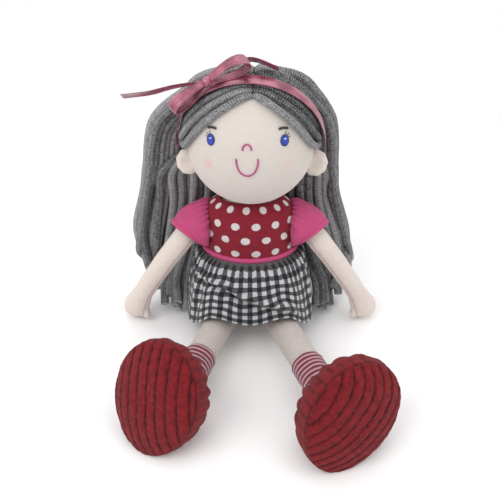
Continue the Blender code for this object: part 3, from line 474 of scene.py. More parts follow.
def stem_stitch(name, place, points, radius, pitch, material, body, *nodes):
    """A line of short slanting stitches, each half over the last, along points on the skin."""
    lengths = lengths_along(points)

    def at(share):
        length = min(max(lengths[-1] * share, 0), lengths[-1])
        k = max(i for i, value in enumerate(lengths) if value <= length + 1e-9)
        k = min(k, len(points) - 2)
        return points[k].lerp(points[k + 1], (length - lengths[k]) / (lengths[k + 1] - lengths[k]))

    shape = bmesh.new()
    count = max(2, round(lengths[-1] / pitch))
    for k in range(count):
        start, middle, end = (at((k + share) / count) for share in (-0.15, 0.5, 1.15))
        outward = (middle - place).normalized()
        lean = outward.cross(end - start).normalized() * radius * 0.35
        start -= lean + outward * radius * 0.5
        middle += outward * radius * 0.35
        end += lean - outward * radius * 0.5
        stitch = [start, start.lerp(middle, 0.55), middle, middle.lerp(end, 0.45), end]
        tube(shape, stitch, [radius * share for share in (0.45, 0.9, 1.0, 0.9, 0.45)])
    return new_piece(name, mesh_of(name, shape), material, body, *nodes)


HEAD_MIDDLE = to_world(HEAD_CENTRE)
EYE_HALF_WIDTH, EYE_HALF_HEIGHT = 0.0032, 0.0043
EYE_RINGS, EYE_COLUMNS = 6, 28
LASHES = ((0.0010, 0.0012, 0.0034), (0.0024, 0.0024, 0.0026), (0.0032, 0.0026, 0.0012))
for side in (LEFT, RIGHT):
    label = SIDE_NAMES[side]
    lean = radians(7) * side

    def on_eye(x, z, lift):
        return onto_face(side * EYE_LONGITUDE, EYE_LATITUDE, x, z, lift)

    def leaned(x, z, lift):
        return on_eye(x * cos(lean) + z * sin(lean), z * cos(lean) - x * sin(lean), lift)

    shape = bmesh.new()
    rings = []
    for ring in range(1, EYE_RINGS + 1):
        share = ring / EYE_RINGS
        lift = 0.0003 + 0.0010 * sqrt(max(0, 1 - share**2.4))
        row = []
        for angle in angles_round(EYE_COLUMNS):
            x, z = EYE_HALF_WIDTH * cos(angle) * share, EYE_HALF_HEIGHT * sin(angle) * share
            ridge = 0.00010 * sin(x / 0.00045 * 2) if ring < EYE_RINGS else 0
            row.append(shape.verts.new(leaned(x, z, lift + ridge)))
        rings.append(row)
    join_rows(shape, rings)
    close_row(shape, rings[0], shape.verts.new(on_eye(0, 0, 0.0013)))
    close_row(shape, rings[-1][::-1], shape.verts.new(on_eye(0, 0, 0.0002)))
    eye = new_piece("eye_fill_" + label, mesh_of("eye_fill", shape), BLUE_FLOSS, "head", "eye_" + label)

    outline = [leaned(0.0033 * cos(angle), 0.0044 * sin(angle), 0.0006) for angle in angles_round(40, 1)]
    rim = stem_stitch("eye_rim_" + label, HEAD_MIDDLE, outline, 0.00028, 0.0016, DARK_FLOSS, "head")

    light = [on_eye(x, z, 0.0013) for x, z in ((-0.0006, 0.0008), (0.0002, 0.0016), (0.0010, 0.0011))]
    glint = stem_stitch("eye_light_" + label, HEAD_MIDDLE, light, 0.00050, 0.0008, WHITE_FLOSS, "head")

    shape = bmesh.new()
    for start, reach, rise in LASHES:
        foot = sqrt(max(0, 1 - (start / 0.0036) ** 2)) * 0.0046
        lash = [on_eye(side * (start + reach * share), foot + rise * share - 0.0005 * share * share, 0.0005)
                for share in (0, 0.25, 0.5, 0.75, 1)]
        tube(shape, lash, [0.00024, 0.00026, 0.00024, 0.00020, 0.00012], 6)
    lashes = new_piece("lashes_" + label, mesh_of("lashes", shape), DARK_FLOSS, "head")

    arch = []
    for k in range(9):
        share = k / 4 - 1
        up = 0.0007 * (1 - share * share) - side * share * 0.0001
        arch.append(onto_face(side * EYE_LONGITUDE, BROW_LATITUDE, 0.0036 * share, up, 0.0006))
    brow = stem_stitch("brow_line_" + label, HEAD_MIDDLE, arch, 0.00105, 0.0013, BROWN_FLOSS, "head",
                       "brow_" + label)

for name, node, latitude, width, height in (
    ("nose_line", "nose_stitch", radians(2.2), 0.0064, 0.0050),
    ("mouth_line", "mouth_stitch", radians(-4.5), 0.0158, -0.0148),
):
    arch = []
    for k in range(33):
        angle = pi * k / 32
        x, z = -width / 2 * cos(angle), height * sin(angle) ** 0.8
        arch.append(onto_face(0, latitude, x, z, 0.0005))
    line = stem_stitch(name, HEAD_MIDDLE, arch, 0.00072, 0.0021, PINK_FLOSS, "head", node)


# Hair: grey knitted cord, 33 strands a side sewn down along a middle parting. The front nine
# lie over the forehead to the ear. The others go out over the side of the head and fall behind the
# arms. Over the head the strands move with it, and below they hang free down to the floor.
STRANDS = 33
FRINGE = 9
STRAND_RADIUS = 0.0040
LEAVES_HEAD = 33
CROWN_END_Z, HANG_Z = 0.185, 0.150
HAIR_REACH = {LEFT: 0.100, RIGHT: 0.110}
OUT_SHARES = {RIGHT: (0.86, 0.92, 0.98, 0.98, 0.93), LEFT: (0.775, 0.81, 0.93, 1.0, 1.0)}
IN_SHARES = (0.74, 0.74, 1.00, 1.20, 1.24)
BACK_SHARES = (1.0, 1.0, 0.85, 0.65, 0.40)
HANG_SHARES = (1.0, 0.74, 0.36, 0.10, 0.0)

yarn = Cloth("grey_cord", (0.20, 0.20, 0.205), 1.0, 0.10)
knit = yarn.math("MULTIPLY", yarn.spread(yarn.knit(0.0021), -1.0, 1.0),
                 yarn.spread(yarn.attribute("wale"), 0.0, 0.35))
flecks = yarn.noise(520, 4.0, (1, 1, 1), 0.75)
tone = yarn.math("MULTIPLY", yarn.attribute("shade"), 0.5)
tone = yarn.math("MULTIPLY_ADD", yarn.noise(160, 2.0), 0.4, tone)
tone = yarn.math("MULTIPLY_ADD", flecks, 1.7, tone)
tone = yarn.math("MULTIPLY_ADD", knit, 0.45, tone)
yarn.color(yarn.mix(yarn.spread(tone, 1.02, 1.98), (0.034, 0.034, 0.037), (0.44, 0.44, 0.455)))
yarn.bump(knit, 0.0008, 0.9)
yarn.bump(flecks, 0.0003, 0.4)


def smooth_path(points, count):
    """Even samples of a smooth curve through given points."""
    ends = [2 * points[0] - points[1], *points, 2 * points[-1] - points[-2]]
    samples = []
    for k in range(count):
        place = (len(points) - 1) * k / (count - 1)
        i = min(int(place), len(points) - 2)
        t = place - i
        a, b, c, d = ends[i : i + 4]
        bend, twist = 2 * a - 5 * b + 4 * c - d, 3 * b - a - 3 * c + d
        samples.append(b + ((c - a) * t + bend * t**2 + twist * t**3) / 2)
    return samples


def ease(value, start, end):
    share = min(1, max(0, (value - start) / (end - start)))
    return share * share * (3 - 2 * share)


def parting(number):
    """Where a strand is sewn down, closer together over the forehead than behind it."""
    angle = radians(48.8 + 5.0 * number - 0.15 * max(0, number - FRINGE))
    return Vector((0, -cos(angle), sin(angle)))


def strand_route(side, number):
    """One strand from the parting over the head and down to its cut end, with its thickness."""
    wobble = noise.noise_vector(Vector((number * 7.3, side * 3.1, 0.5)))
    fringe, odd = number < FRINGE, number % 2
    if fringe:
        share = number / (FRINGE - 1)
        tucked, forward = 0.0, 0.97 - 0.72 * share
        out_share, depth = 0.97 - 0.72 * share, 0.1 + 0.5 * odd
        goal = face_direction(side * radians(88 + 26 * share), radians(3 + 22 * share))
        sag = Vector((0, 0.07, -0.37)) * (0.98 - 0.31 * share) ** 2
        last_lift = 0.0034 + 0.0004 * number
    else:
        share = (number - FRINGE) / (STRANDS - FRINGE - 1)
        tucked = ease(share, 0.55, 0.80)
        out_share, depth, forward = share, 3 * share + 1.15 * odd, 0.8 * share * (1 - tucked)
        goal = face_direction(side * radians(99 + 47 * share), 0)
        goal.z = tan(radians(38 - 55 * share))
        goal = goal.normalized()
        sag = Vector((0, 0, 0.10)) * (1 - share)
        last_lift = 0.0078 + 0.0050 * odd

    crown = []
    for k in range(13):
        t = k / 12
        way = parting(number).lerp(goal, t) + sag * sin(pi * t)
        lift = 0.0008 + 0.0026 * ease(t, 0, 0.12) + (last_lift - 0.0034) * ease(t, 0.35, 1.0)
        lift += (0.0008 * odd + 0.0010 * (number > FRINGE + 1)) * sin(pi * t)
        point = head_surface(way, lift)
        point.x += (side * 0.0016 + 0.0035) * max(0, 1 - 2 * t)
        crown.append(to_world(point))

    hanging = []
    end_z = 0.0085 + 0.030 * (1 - ease(out_share, 0.0, 0.55)) + 0.010 * (wobble.z + 0.3)
    end_z = max(0.0050, end_z)
    for k, height in enumerate(HANG_SHARES):
        outer, inner = HAIR_REACH[side] * OUT_SHARES[side][k], 0.052 * IN_SHARES[k]
        if not fringe:
            inner -= 0.036 * ease(share, 0.45, 1.0) * (1, 1, 1.3, 1.5, 1.5)[k]
        x = outer + (inner - outer) * out_share
        y = 0.0135 * BACK_SHARES[k] + 0.0070 * depth * (1, 1, 0.9, 0.45, 0.2)[k]
        y -= (0.046 * forward - 0.010) * (0, 0, 0, 0.35, 1)[k]
        y += 0.015 * tucked * (0, 0.1, 0.3, 0.8, 1)[k]
        z = end_z + (0.140 - end_z) * height
        stray = noise.noise_vector(Vector((number * 5.1, side * 2.3, 1.3 * k)))
        x += (wobble.x + stray.x) * 0.005 * (1 - 0.6 * tucked) * (0.3, 0.8, 1.0, 1.0, 1.2)[k]
        y += (wobble.y + stray.y) * 0.0050 * (0.2, 0.7, 1.0, 1.2, 1.8)[k]
        hanging.append(Vector((side * x, y, z)))

    last = crown[-1]
    if fringe:
        behind = face_direction(side * radians(116 + 8 * share), radians(-14 + 5 * share))
        middle = to_world(head_surface(behind, last_lift + 0.0006 * number))
    else:
        fall = hanging[0] - last
        middle = last + Vector((fall.x * 0.72, fall.y * 0.25, fall.z * 0.36))
    below = smooth_path([crown[-2], last, middle, *hanging], 90)[13:]
    route = smooth_path(crown, LEAVES_HEAD) + below
    radii = []
    for k, point in enumerate(route):
        pressed = 1 - (0.28 if fringe else 0.12) * (1 - ease(k, 30, 60))
        radii.append(STRAND_RADIUS * pressed * (1 + 0.06 * noise.noise(point * 60)))
    return route, radii


def knit_cord():
    """Geometry nodes that make a round cord of 12 wales along every edge chain of a mesh."""
    tree = bpy.data.node_groups.new("knit_cord", "GeometryNodeTree")
    for name, way in (("Chains", "INPUT"), ("Cord", "OUTPUT")):
        tree.interface.new_socket(name, in_out=way, socket_type="NodeSocketGeometry")
    chains = add_node(tree, "NodeGroupInput").outputs["Chains"]
    curve = add_node(tree, "GeometryNodeMeshToCurve", {"Mesh": chains}).outputs["Curve"]
    thickness = add_node(tree, "GeometryNodeInputNamedAttribute", {"Name": "thickness"},
                         data_type="FLOAT").outputs["Attribute"]
    curve = add_node(tree, "GeometryNodeSetCurveRadius", {"Curve": curve, "Radius": thickness})
    circle = {"Radius": 1.0, "Resolution": 12}
    profile = add_node(tree, "GeometryNodeCurvePrimitiveCircle", circle).outputs["Curve"]
    index = add_node(tree, "GeometryNodeInputIndex").outputs[0]
    odd = add_node(tree, "ShaderNodeMath", {0: index, 1: 2}, operation="MODULO").outputs[0]
    wale = {"Geometry": profile, "Name": "wale", "Value": odd}
    profile = add_node(tree, "GeometryNodeStoreNamedAttribute", wale, data_type="FLOAT",
                       domain="POINT").outputs["Geometry"]
    inputs = {"Curve": curve.outputs["Curve"], "Profile Curve": profile, "Fill Caps": True}
    cord = add_node(tree, "GeometryNodeCurveToMesh", inputs)
    if "Scale" in cord.inputs:
        tree.links.new(thickness, cord.inputs["Scale"])
    add_node(tree, "NodeGroupOutput", {"Cord": cord.outputs["Mesh"]})
    return tree


KNIT_CORD = knit_cord()


def hair_piece(name, chains, body, node):
    """A piece of round knitted cords; a chain is its points, radii, first length and shade."""
    points, edges, thickness, lengths, tints_and_sheen = [], [], [], [], []
    for route, radii, begin, tint in chains:
        edges += [(len(points) + k, len(points) + k + 1) for k in range(len(route) - 1)]
        points += route
        lengths += [begin + length for length in lengths_along(route)]
        thickness += radii
        tints_and_sheen += [tint] * len(route)
    mesh = bpy.data.meshes.new(name)
    mesh.from_pydata(points, edges, [])
    for label, values in (("thickness", thickness), ("along", lengths), ("shade", tints_and_sheen)):
        add_values(mesh, label, values)
    work = in_scene("work", mesh)
    modify(work, "NODES", node_group=KNIT_CORD)
    piece = new_piece(name, baked(work), yarn.material, body, node)
    return piece


for side in (LEFT, RIGHT):
    label = SIDE_NAMES[side]
    crown, upper, lower = [], [[], [], [], []], [[], [], [], []]
    for number in range(STRANDS):
        route, radii = strand_route(side, number)
        lengths = lengths_along(route)
        tint = 0.5 + noise.noise(Vector((number * 3.7, side, 2.2)))
        hangs = next(k for k, point in enumerate(route) if k > LEAVES_HEAD and point.z < HANG_Z)
        if number < FRINGE:
            lock = 3 - number // 3
        else:
            lock = min(3, (number - FRINGE) * 4 // (STRANDS - FRINGE))
        for part, first, last in ((crown, 0, LEAVES_HEAD), (upper[lock], LEAVES_HEAD, hangs),
                                  (lower[lock], hangs, len(route))):
            part.append((route[first : last + 1], radii[first : last + 1], lengths[first], tint))
    hair_piece("crown_strands_" + label, crown, "head", "hair_crown_" + label)
    for k in range(4):
        name = f"{label}_{k + 1}"
        piece = hair_piece("hair_top_" + name, upper[k], None, "hair_lock_" + name)
        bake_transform(piece)
        piece = hair_piece("hair_fall_" + name, lower[k], None, "hair_lock_" + name)
        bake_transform(piece)


# Satin ribbon: a band round the hair from ear to ear, knotted over the doll's right brow into a bow
# of two loops with a long and a short tail. Both faces shine, and the edges are woven firm.
RIBBON_WIDTH = 0.0110
BAND_SLOPE = radians(26)
BAND_LIFT = 0.0094
RIBBON_COLUMNS = 8
satin = Cloth("satin", (0.33, 0.085, 0.13), 0.24, 0.0)
# Lighter and darker bands along the satin are painted highlights and painted shade, standing in for the
# satin's sheen.
tints_and_sheen = satin.spread(satin.noise(85, 1.0), 0.36, 0.64)
satin.color(satin.mix(tints_and_sheen, (0.170, 0.027, 0.054), (0.385, 0.102, 0.158)))
satin.shader.inputs["Specular IOR Level"].default_value = 0.7
satin.bump(satin.noise(1500, 1.0, (0.15, 1.0, 1.0)), 0.00008, 0.4)
satin.bump(satin.spread(satin.attribute("edge"), 0.86, 0.93), 0.0002, 0.6)


def band_point(angle, lift):
    """The ribbon's path: a tilted hoop round the hair, from ear to ear."""
    slope = Vector((0, -sin(BAND_SLOPE), cos(BAND_SLOPE)))
    ray = Vector((sin(angle), 0, 0)) + slope * cos(angle)
    start = Vector((0, -0.0025, 0))
    half = HEAD_HALF + Vector((lift, lift, lift))
    a = sum((ray[k] / half[k]) ** 2 for k in range(3))
    b = sum(2 * start[k] * ray[k] / half[k] ** 2 for k in range(3))
    c = sum((start[k] / half[k]) ** 2 for k in range(3)) - 1
    return HEAD_CENTRE + start + ray * ((-b + sqrt(b * b - 4 * a * c)) / (2 * a))


def ribbon(name, node, path, across, widths, cup):
    """A strip of satin along a path in the head's frame, with its real width at each point."""
    verts, faces, edges = [], [], []
    for i, (point, width) in enumerate(zip(path, widths)):
        along = (path[min(i + 1, len(path) - 1)] - path[max(i - 1, 0)]).normalized()
        way = across[i].normalized()
        outward = along.cross(way).normalized()
        squeeze = sqrt(max(0, 1 - (width / RIBBON_WIDTH) ** 2))
        for k in range(RIBBON_COLUMNS + 1):
            share = 2 * k / RIBBON_COLUMNS - 1
            pleat = squeeze * 0.0009 * cos(2 * pi * share * 1.5)
            spot = point + way * width / 2 * share + outward * (pleat + cup * share * share)
            verts.append(to_world(spot))
            edges.append(abs(share))
    for i in range(len(path) - 1):
        for k in range(RIBBON_COLUMNS):
            a, b = i * (RIBBON_COLUMNS + 1) + k, (i + 1) * (RIBBON_COLUMNS + 1) + k
            faces.append((a, a + 1, b + 1, b))
    mesh = bpy.data.meshes.new(name)
    mesh.from_pydata(verts, [], faces)
    add_values(mesh, "edge", edges)
    work = in_scene("work", mesh)
    modify(work, "SUBSURF", levels=1)
    modify(work, "SOLIDIFY", thickness=0.00045, offset=0, use_even_offset=True)
    piece = new_piece(name, baked(work), satin.material, "head", node)


BAND_END = radians(97)
path = [band_point(BAND_END * (2 * k / 60 - 1), BAND_LIFT) for k in range(61)]
across = [Vector((0, cos(BAND_SLOPE), sin(BAND_SLOPE)))] * 61
ribbon("satin_band", "ribbon_band", path, across, [RIBBON_WIDTH] * 61, -0.0004)

KNOT_ANGLE = radians(-29)
KNOT_SIZE = 0.0085
seat = band_point(KNOT_ANGLE, BAND_LIFT)
KNOT = seat + (seat - HEAD_CENTRE).normalized() * (KNOT_SIZE / 2 + 0.0010)
TAIL_ACROSS = Vector((0, 0.9, -0.44))


def knot_skin(way):
    """The knot's creased ball, with its ends pinched and leaning with the bow."""
    crease = 1 + 0.07 * cos(5 * np.arctan2(way.y, way.x) + 2 * way.z)
    pinch = 1 - 0.18 * way.z**2
    point = Vector((way.x * pinch * 0.95, way.y * pinch, way.z * 1.12)) * (KNOT_SIZE / 2 * crease)
    return KNOT + Matrix.Rotation(radians(38), 3, "Y") @ point


knot = new_piece("satin_knot", ball("satin_knot", 36, 24, knot_skin), satin.material, "head", "bow_knot")

CLEAR = KNOT_SIZE / 2 - 0.0012
for name, length, way, across, height in (
    ("upper", 0.038, Vector((0.90, -0.04, 0.44)).normalized(), Vector((-0.40, 0.79, 0.46)), 0.0064),
    ("lower", 0.036, Vector((-0.76, -0.32, -0.60)).normalized(), Vector((-0.58, 0.71, 0.40)), 0.0048),
):
    up = across.cross(way).normalized()
    path, widths, turns = [], [], []
    for k in range(41):
        t = 0.04 + 0.92 * k / 40
        reach = CLEAR + length * (sin(pi * t) - sin(pi * 0.04))
        path.append(KNOT + way * reach + up * (height * sin(2 * pi * t)))
        widths.append(RIBBON_WIDTH * (0.45 + 0.57 * sin(pi * t) ** 0.7))
        turns.append(across + up * 0.10 * sin(2 * pi * t))
    ribbon("satin_loop_" + name, "bow_loop_" + name, path, turns, widths, 0.0003)

for name, length, shares, setback in (
    ("long", 0.066, ((0, 0), (-0.33, -0.055), (-0.66, -0.13), (-0.98, -0.17)), 0.0026),
    ("short", 0.055, ((0, 0), (0.30, 0.17), (0.62, 0.27), (1.0, 0.14)), 0.0112),
):
    corners = [Vector((length * x, setback, length * z)) for x, z in shares]
    start = corners[-1].normalized() * (CLEAR if name == "long" else 0)
    path = [KNOT + point + start for point in smooth_path(corners, 31)]
    widths = [RIBBON_WIDTH * min(1, 0.42 + 1.05 * k / 30) for k in range(31)]
    ribbon("satin_tail_" + name, "bow_tail_" + name, path, [TAIL_ACROSS] * 31, widths, 0.0004)


# Dress: a fitted bodice of dotted cotton, a hot pink piping round the waist, a gathered skirt of
# gingham with a stitched hem, and two puffed sleeves of pink jersey gathered into the armholes.
TORSO_HEIGHT = 0.128
HEIGHT_SHARES = (0.0, 0.03, 0.12, 0.30, 0.50, 0.68, 0.80, 0.90, 0.96, 1.0)
WIDTH_SHARES = (0.80, 0.91, 1.0, 1.04, 1.02, 1.0, 1.0, 0.98, 0.92, 0.70)
DEPTH_SHARES = (0.76, 0.89, 1.0, 1.04, 1.02, 0.99, 0.95, 0.88, 0.78, 0.60)
WAIST = 0.605


def torso_point(share, angle, lift):
    """A point round the dressed torso, with its measured outline smoothed."""
    near = [share + 0.012 * k for k in range(-3, 4)]
    half_width = 0.040 * np.mean(np.interp(near, HEIGHT_SHARES, WIDTH_SHARES)) + lift
    half_depth = 0.028 * np.mean(np.interp(near, HEIGHT_SHARES, DEPTH_SHARES)) + lift
    y = -0.008 - 0.006 * share + half_depth * sin(angle)
    return Vector((half_width * cos(angle), y, TORSO_HEIGHT * share))


def cloth_grid(name, point, columns, rows, thickness, uv=lambda u, v: (u, v)):
    """Cloth all round, over a grid of (u, v), made as thick as its fabric."""
    verts = [point(u / columns, v / rows) for v in range(rows + 1) for u in range(columns)]
    faces, places = [], []
    for v in range(rows):
        for u in range(columns):
            a, b = v * columns + u, v * columns + (u + 1) % columns
            faces.append((a, b, b + columns, a + columns))
            places += [uv(x / columns, y / rows) for x, y in
                       ((u, v), (u + 1, v), (u + 1, v + 1), (u, v + 1))]
    mesh = bpy.data.meshes.new(name)
    mesh.from_pydata([tuple(vert) for vert in verts], [], faces)
    layer = mesh.uv_layers.new(name="cloth")
    for corner, place in zip(layer.data, places):
        corner.uv = place
    work = in_scene("work", mesh)
    modify(work, "SOLIDIFY", thickness=thickness, offset=0)
    return baked(work)


def uv_place(cloth):
    uv = cloth.node("ShaderNodeTexCoord").outputs["UV"]
    return cloth.node("ShaderNodeSeparateXYZ", {"Vector": uv}).outputs


dotted = Cloth("dotted_cotton", (0.25, 0.014, 0.030), 0.85, 0.1)
place = uv_place(dotted)
PITCH_X, PITCH_Z, DOT, DOT_START = 0.0158, 0.0137, 0.0033, (0.0982, -0.0025)
# Every other row of dots stands half a pitch to the side.
row = dotted.math("DIVIDE", place[1], PITCH_Z)
odd = dotted.math("MODULO", dotted.math("ABSOLUTE", dotted.math("FLOOR", row)), 2.0)
column = dotted.math("MULTIPLY_ADD", odd, 0.5, dotted.math("DIVIDE", place[0], PITCH_X))
dx = dotted.math("MULTIPLY", dotted.repeat(column), PITCH_X)
dz = dotted.math("MULTIPLY", dotted.repeat(row), PITCH_Z)
away = dotted.math("MULTIPLY_ADD", dx, dx, dotted.math("MULTIPLY", dz, dz))
ragged = dotted.math("MULTIPLY_ADD", dotted.noise(900, 1.0), 0.0005, dotted.math("SQRT", away))
dot = dotted.spread(ragged, DOT + 0.0002, DOT + 0.0005, 1.0, 0.0)
red = woven(dotted, (0.245, 0.012, 0.028), (0.185, 0.008, 0.019), 0.0006, 0.25)
white = dotted.mix(dotted.noise(1300, 2.0), (0.54, 0.50, 0.50), (0.67, 0.63, 0.63))
dotted.color(dotted.mix(dot, red, white))


def bodice_point(u, v):
    """Up from the waist, and from v = 0.78 inward over the shoulders to the neck."""
    fall, closing = min(1, v / 0.78), max(0, v / 0.78 - 1) / 0.282
    point = torso_point(WAIST + (0.965 - WAIST) * fall, 2 * pi * u - pi / 2, 0.0016)
    wrinkle = 0.0006 * sin(7 * pi * u + 40 * v) * sin(pi * fall) * cos(23 * u)
    point += Vector((point.x, point.y + 0.0135, 0)).normalized() * wrinkle
    return Vector((point.x * (1 - 0.26 * closing), -0.0135 + (point.y + 0.0135) * (1 - 0.44 * closing),
                   point.z + 0.0062 * sin(pi / 2 * closing)))


mesh = cloth_grid("bodice", bodice_point, 112, 36, 0.0011,
                  lambda u, v: (0.222 * (u - (u > 0.5)) + DOT_START[0], 0.0590 * v + DOT_START[1]))
bodice = new_piece("dotted_bodice", mesh, dotted.material, "torso", "bodice")

jersey = Cloth("pink_jersey", (0.55, 0.070, 0.20), 0.9, 0.1)
wales = jersey.noise(1800, 1.0, (1.0, 1.0, 0.35))
jersey.color(jersey.mix(jersey.spread(wales, 0.3, 0.7), (0.45, 0.058, 0.160), (0.53, 0.076, 0.200)))
jersey.bump(wales, 0.0001, 0.3)

shape = bmesh.new()
cord = [torso_point(WAIST + 0.0188, angle, 0.0026 + 0.0003 * sin(31 * angle))
        for angle in angles_round(96)]
rings = []
for k, middle in enumerate(cord):
    up = Vector((0, 0, 1))
    out = (cord[(k + 1) % 96] - cord[k - 1]).normalized().cross(up).normalized()
    rings.append([shape.verts.new(middle + (out * cos(angle) * 0.0021 + up * sin(angle) * 0.0024))
                  for angle in angles_round(12)])
join_rows(shape, rings + rings[:1])
piping = new_piece("waist_cord", mesh_of("waist_cord", shape), jersey.material, "torso", "waist_piping")

SKIRT_HALF_WIDTH = 0.0595


def hem_point(angle):
    """The hem: square over the thighs, down on the seat at the sides and round at the back."""
    front, back = max(0, -sin(angle)), max(0, sin(angle))
    corner = (abs(cos(angle)) ** 2.5 + front**2.5) ** (-1 / 2.5) if front else 1
    x = SKIRT_HALF_WIDTH * cos(angle) * corner
    y = -0.022 - 0.056 * front * corner + 0.046 * back
    z = 0.0100 - 0.0075 * back
    if front:
        z += 0.0040 + 0.0255 * (1 - ease(abs(x), 0.0320, SKIRT_HALF_WIDTH))
    dip = front * 2 ** -((x / 0.0120) ** 2)
    return Vector((x, y + dip * 0.0040, z - dip * 0.0080))


def skirt_point(u, v):
    """The gathered skirt: v runs from 0 at the waist to 1 at the hem."""
    angle = 2 * pi * u - pi / 2
    waist = Vector((0.0442 * cos(angle), -0.0116 + 0.0322 * sin(angle), 0.0770))
    hem = hem_point(angle)
    spread = v**0.42
    gathers = 0.0011 * sin(58 * angle + 2.2 * sin(3 * angle)) * (1 - ease(v, 0.04, 0.30)) * ease(v, 0.0, 0.03)
    wander = angle + 0.10 * sin(3 * angle + 1) + 0.06 * sin(9 * v)
    folds = 0.0011 * sin(11 * wander + 0.8 * sin(2 * angle)) + 0.0008 * sin(19 * wander + 2)
    folds *= sin(pi * min(v / 0.5, 1) / 2) * (1 - 0.6 * ease(v, 0.6, 1.0))
    across = 0.0595 * cos(angle) * spread
    away = (across - 0.004 - 0.085 * (v - 0.50)) / 0.0052
    crease = 2 ** -(away * away) - 0.6 * 2 ** -((away + 1.7) ** 2)
    crease *= ease(v, 0.10, 0.35) * (1 - ease(v, 0.70, 0.95)) * (sin(angle) < 0)
    stitched = 0.0005 * (ease(v, 0.885, 0.90) - ease(v, 0.90, 0.915))
    flat = waist.lerp(hem, spread)
    flat += Vector((cos(angle), sin(angle), 0)) * (folds + gathers + 0.0065 * crease - stitched)
    return Vector((flat.x, flat.y, waist.z + (hem.z - waist.z) * v + 0.0035 * crease))


SKIRT_COLUMNS = 368
HEM_LENGTHS = lengths_along([hem_point(angle - pi / 2) for angle in angles_round(SKIRT_COLUMNS, 1)])
HEM_REPEATS = round(HEM_LENGTHS[-1] / 0.0098)
REPEAT = 0.0101


def skirt_uv(u, v):
    """A whole number of checks along the hem, and the cloth's height up from it."""
    share = HEM_LENGTHS[round(SKIRT_COLUMNS * u)] / HEM_LENGTHS[-1]
    return HEM_REPEATS * REPEAT * share, 0.066 * v


gingham = Cloth("gingham", (0.35, 0.35, 0.36), 0.85, 0.2)
place = uv_place(gingham)
bands = [gingham.spread(gingham.math("ABSOLUTE", gingham.repeat(place[axis], REPEAT)), 0.235, 0.265)
         for axis in (0, 1)]
both = gingham.math("MULTIPLY", gingham.math("ADD", bands[0], bands[1]), 0.5)
weave = gingham.noise(1500, 1.0)
tone = gingham.math("MULTIPLY_ADD", gingham.math("SUBTRACT", weave, 0.5), 0.18, both)
ramp = gingham.node("ShaderNodeValToRGB", {"Fac": tone})
pale, dark = ramp.color_ramp.elements
pale.color, pale.position = (0.49, 0.49, 0.505, 1), 0.06
dark.color, dark.position = (0.011, 0.012, 0.014, 1), 0.94
ramp.color_ramp.elements.new(0.5).color = (0.070, 0.073, 0.080, 1)
gingham.color(ramp.outputs["Color"])
gingham.bump(weave, 0.0002, 0.5)

mesh = cloth_grid("skirt", skirt_point, SKIRT_COLUMNS, 40, 0.0008, skirt_uv)
skirt = new_piece("gingham_skirt", mesh, gingham.material, None, "skirt")
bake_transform(skirt)

SLEEVE_SHARES = (0.0, 0.18, 0.42, 0.70, 0.90, 1.0)
SLEEVE_FULL = (0.86, 1.06, 1.12, 1.08, 1.0, 0.95)


def bodice_clear(point, lift):
    """The point, moved out of the dressed torso if it is inside it."""
    share = min(1, max(0, point.z / TORSO_HEIGHT))
    surface = torso_point(share, 0, lift)
    middle = Vector((0, surface.y, point.z))
    half = (surface.x, 0.028 * np.interp(share, HEIGHT_SHARES, DEPTH_SHARES) + lift)
    reach = sqrt((point.x / half[0]) ** 2 + ((point.y - middle.y) / half[1]) ** 2)
    if reach >= 1 or point.z > TORSO_HEIGHT:
        return point
    return Vector((point.x / reach, middle.y + (point.y - middle.y) / reach, point.z))


SHOULDER = {side: Vector((side * 0.042, -0.012, 0.107)) for side in (LEFT, RIGHT)}


def sleeve_point(side, u, v):
    """Round the sleeve by u, and from the armhole at 0 to the hem at 1 by v."""
    start = Vector((-side * 0.0060, 0, 0))
    end = Vector((side * 0.0150, -0.0090, -0.0115))
    axis = Vector((side, 0, 0)).lerp(Vector((side * 0.62, -0.42, -0.72)), v).normalized()
    across = axis.cross(Vector((0, 1, 0))).normalized()
    depth = across.cross(axis)
    angle = 2 * pi * u
    wander = angle + 0.35 * sin(2 * angle + side)
    radius = 0.0182 * np.interp(v, SLEEVE_SHARES, SLEEVE_FULL)
    radius += 0.0014 * sin(15 * wander) * (1 - ease(v, 0.06, 0.50))
    radius += 0.0006 * sin(4 * wander + 7 * v) * sin(pi * min(1, v * 1.05))
    radius -= 0.0009 * ease(v, 0.825, 0.865) * (1 - ease(v, 0.865, 0.905))
    point = start.lerp(end, v) + (across * cos(angle) + depth * sin(angle)) * radius
    return bodice_clear(SHOULDER[side] + point, 0.0030)


HEM_PLACE = 0.865
hem_thread = floss("hem_thread", (0.14, 0.010, 0.045), 0.0006)
for side in (LEFT, RIGHT):
    label = SIDE_NAMES[side]
    mesh = cloth_grid("sleeve", lambda u, v: sleeve_point(side, u, v), 136, 36, 0.0011)
    sleeve = new_piece("puff_sleeve_" + label, mesh, jersey.material, None, "sleeve_" + label)
    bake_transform(sleeve)
    ring = [sleeve_point(side, k / 64, HEM_PLACE) for k in range(65)]
    middle = sum(ring[:-1], Vector()) / 64
    thread = stem_stitch("sleeve_hem_" + label, middle, ring, 0.00048, 0.0024, hem_thread, None)
    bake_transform(thread)
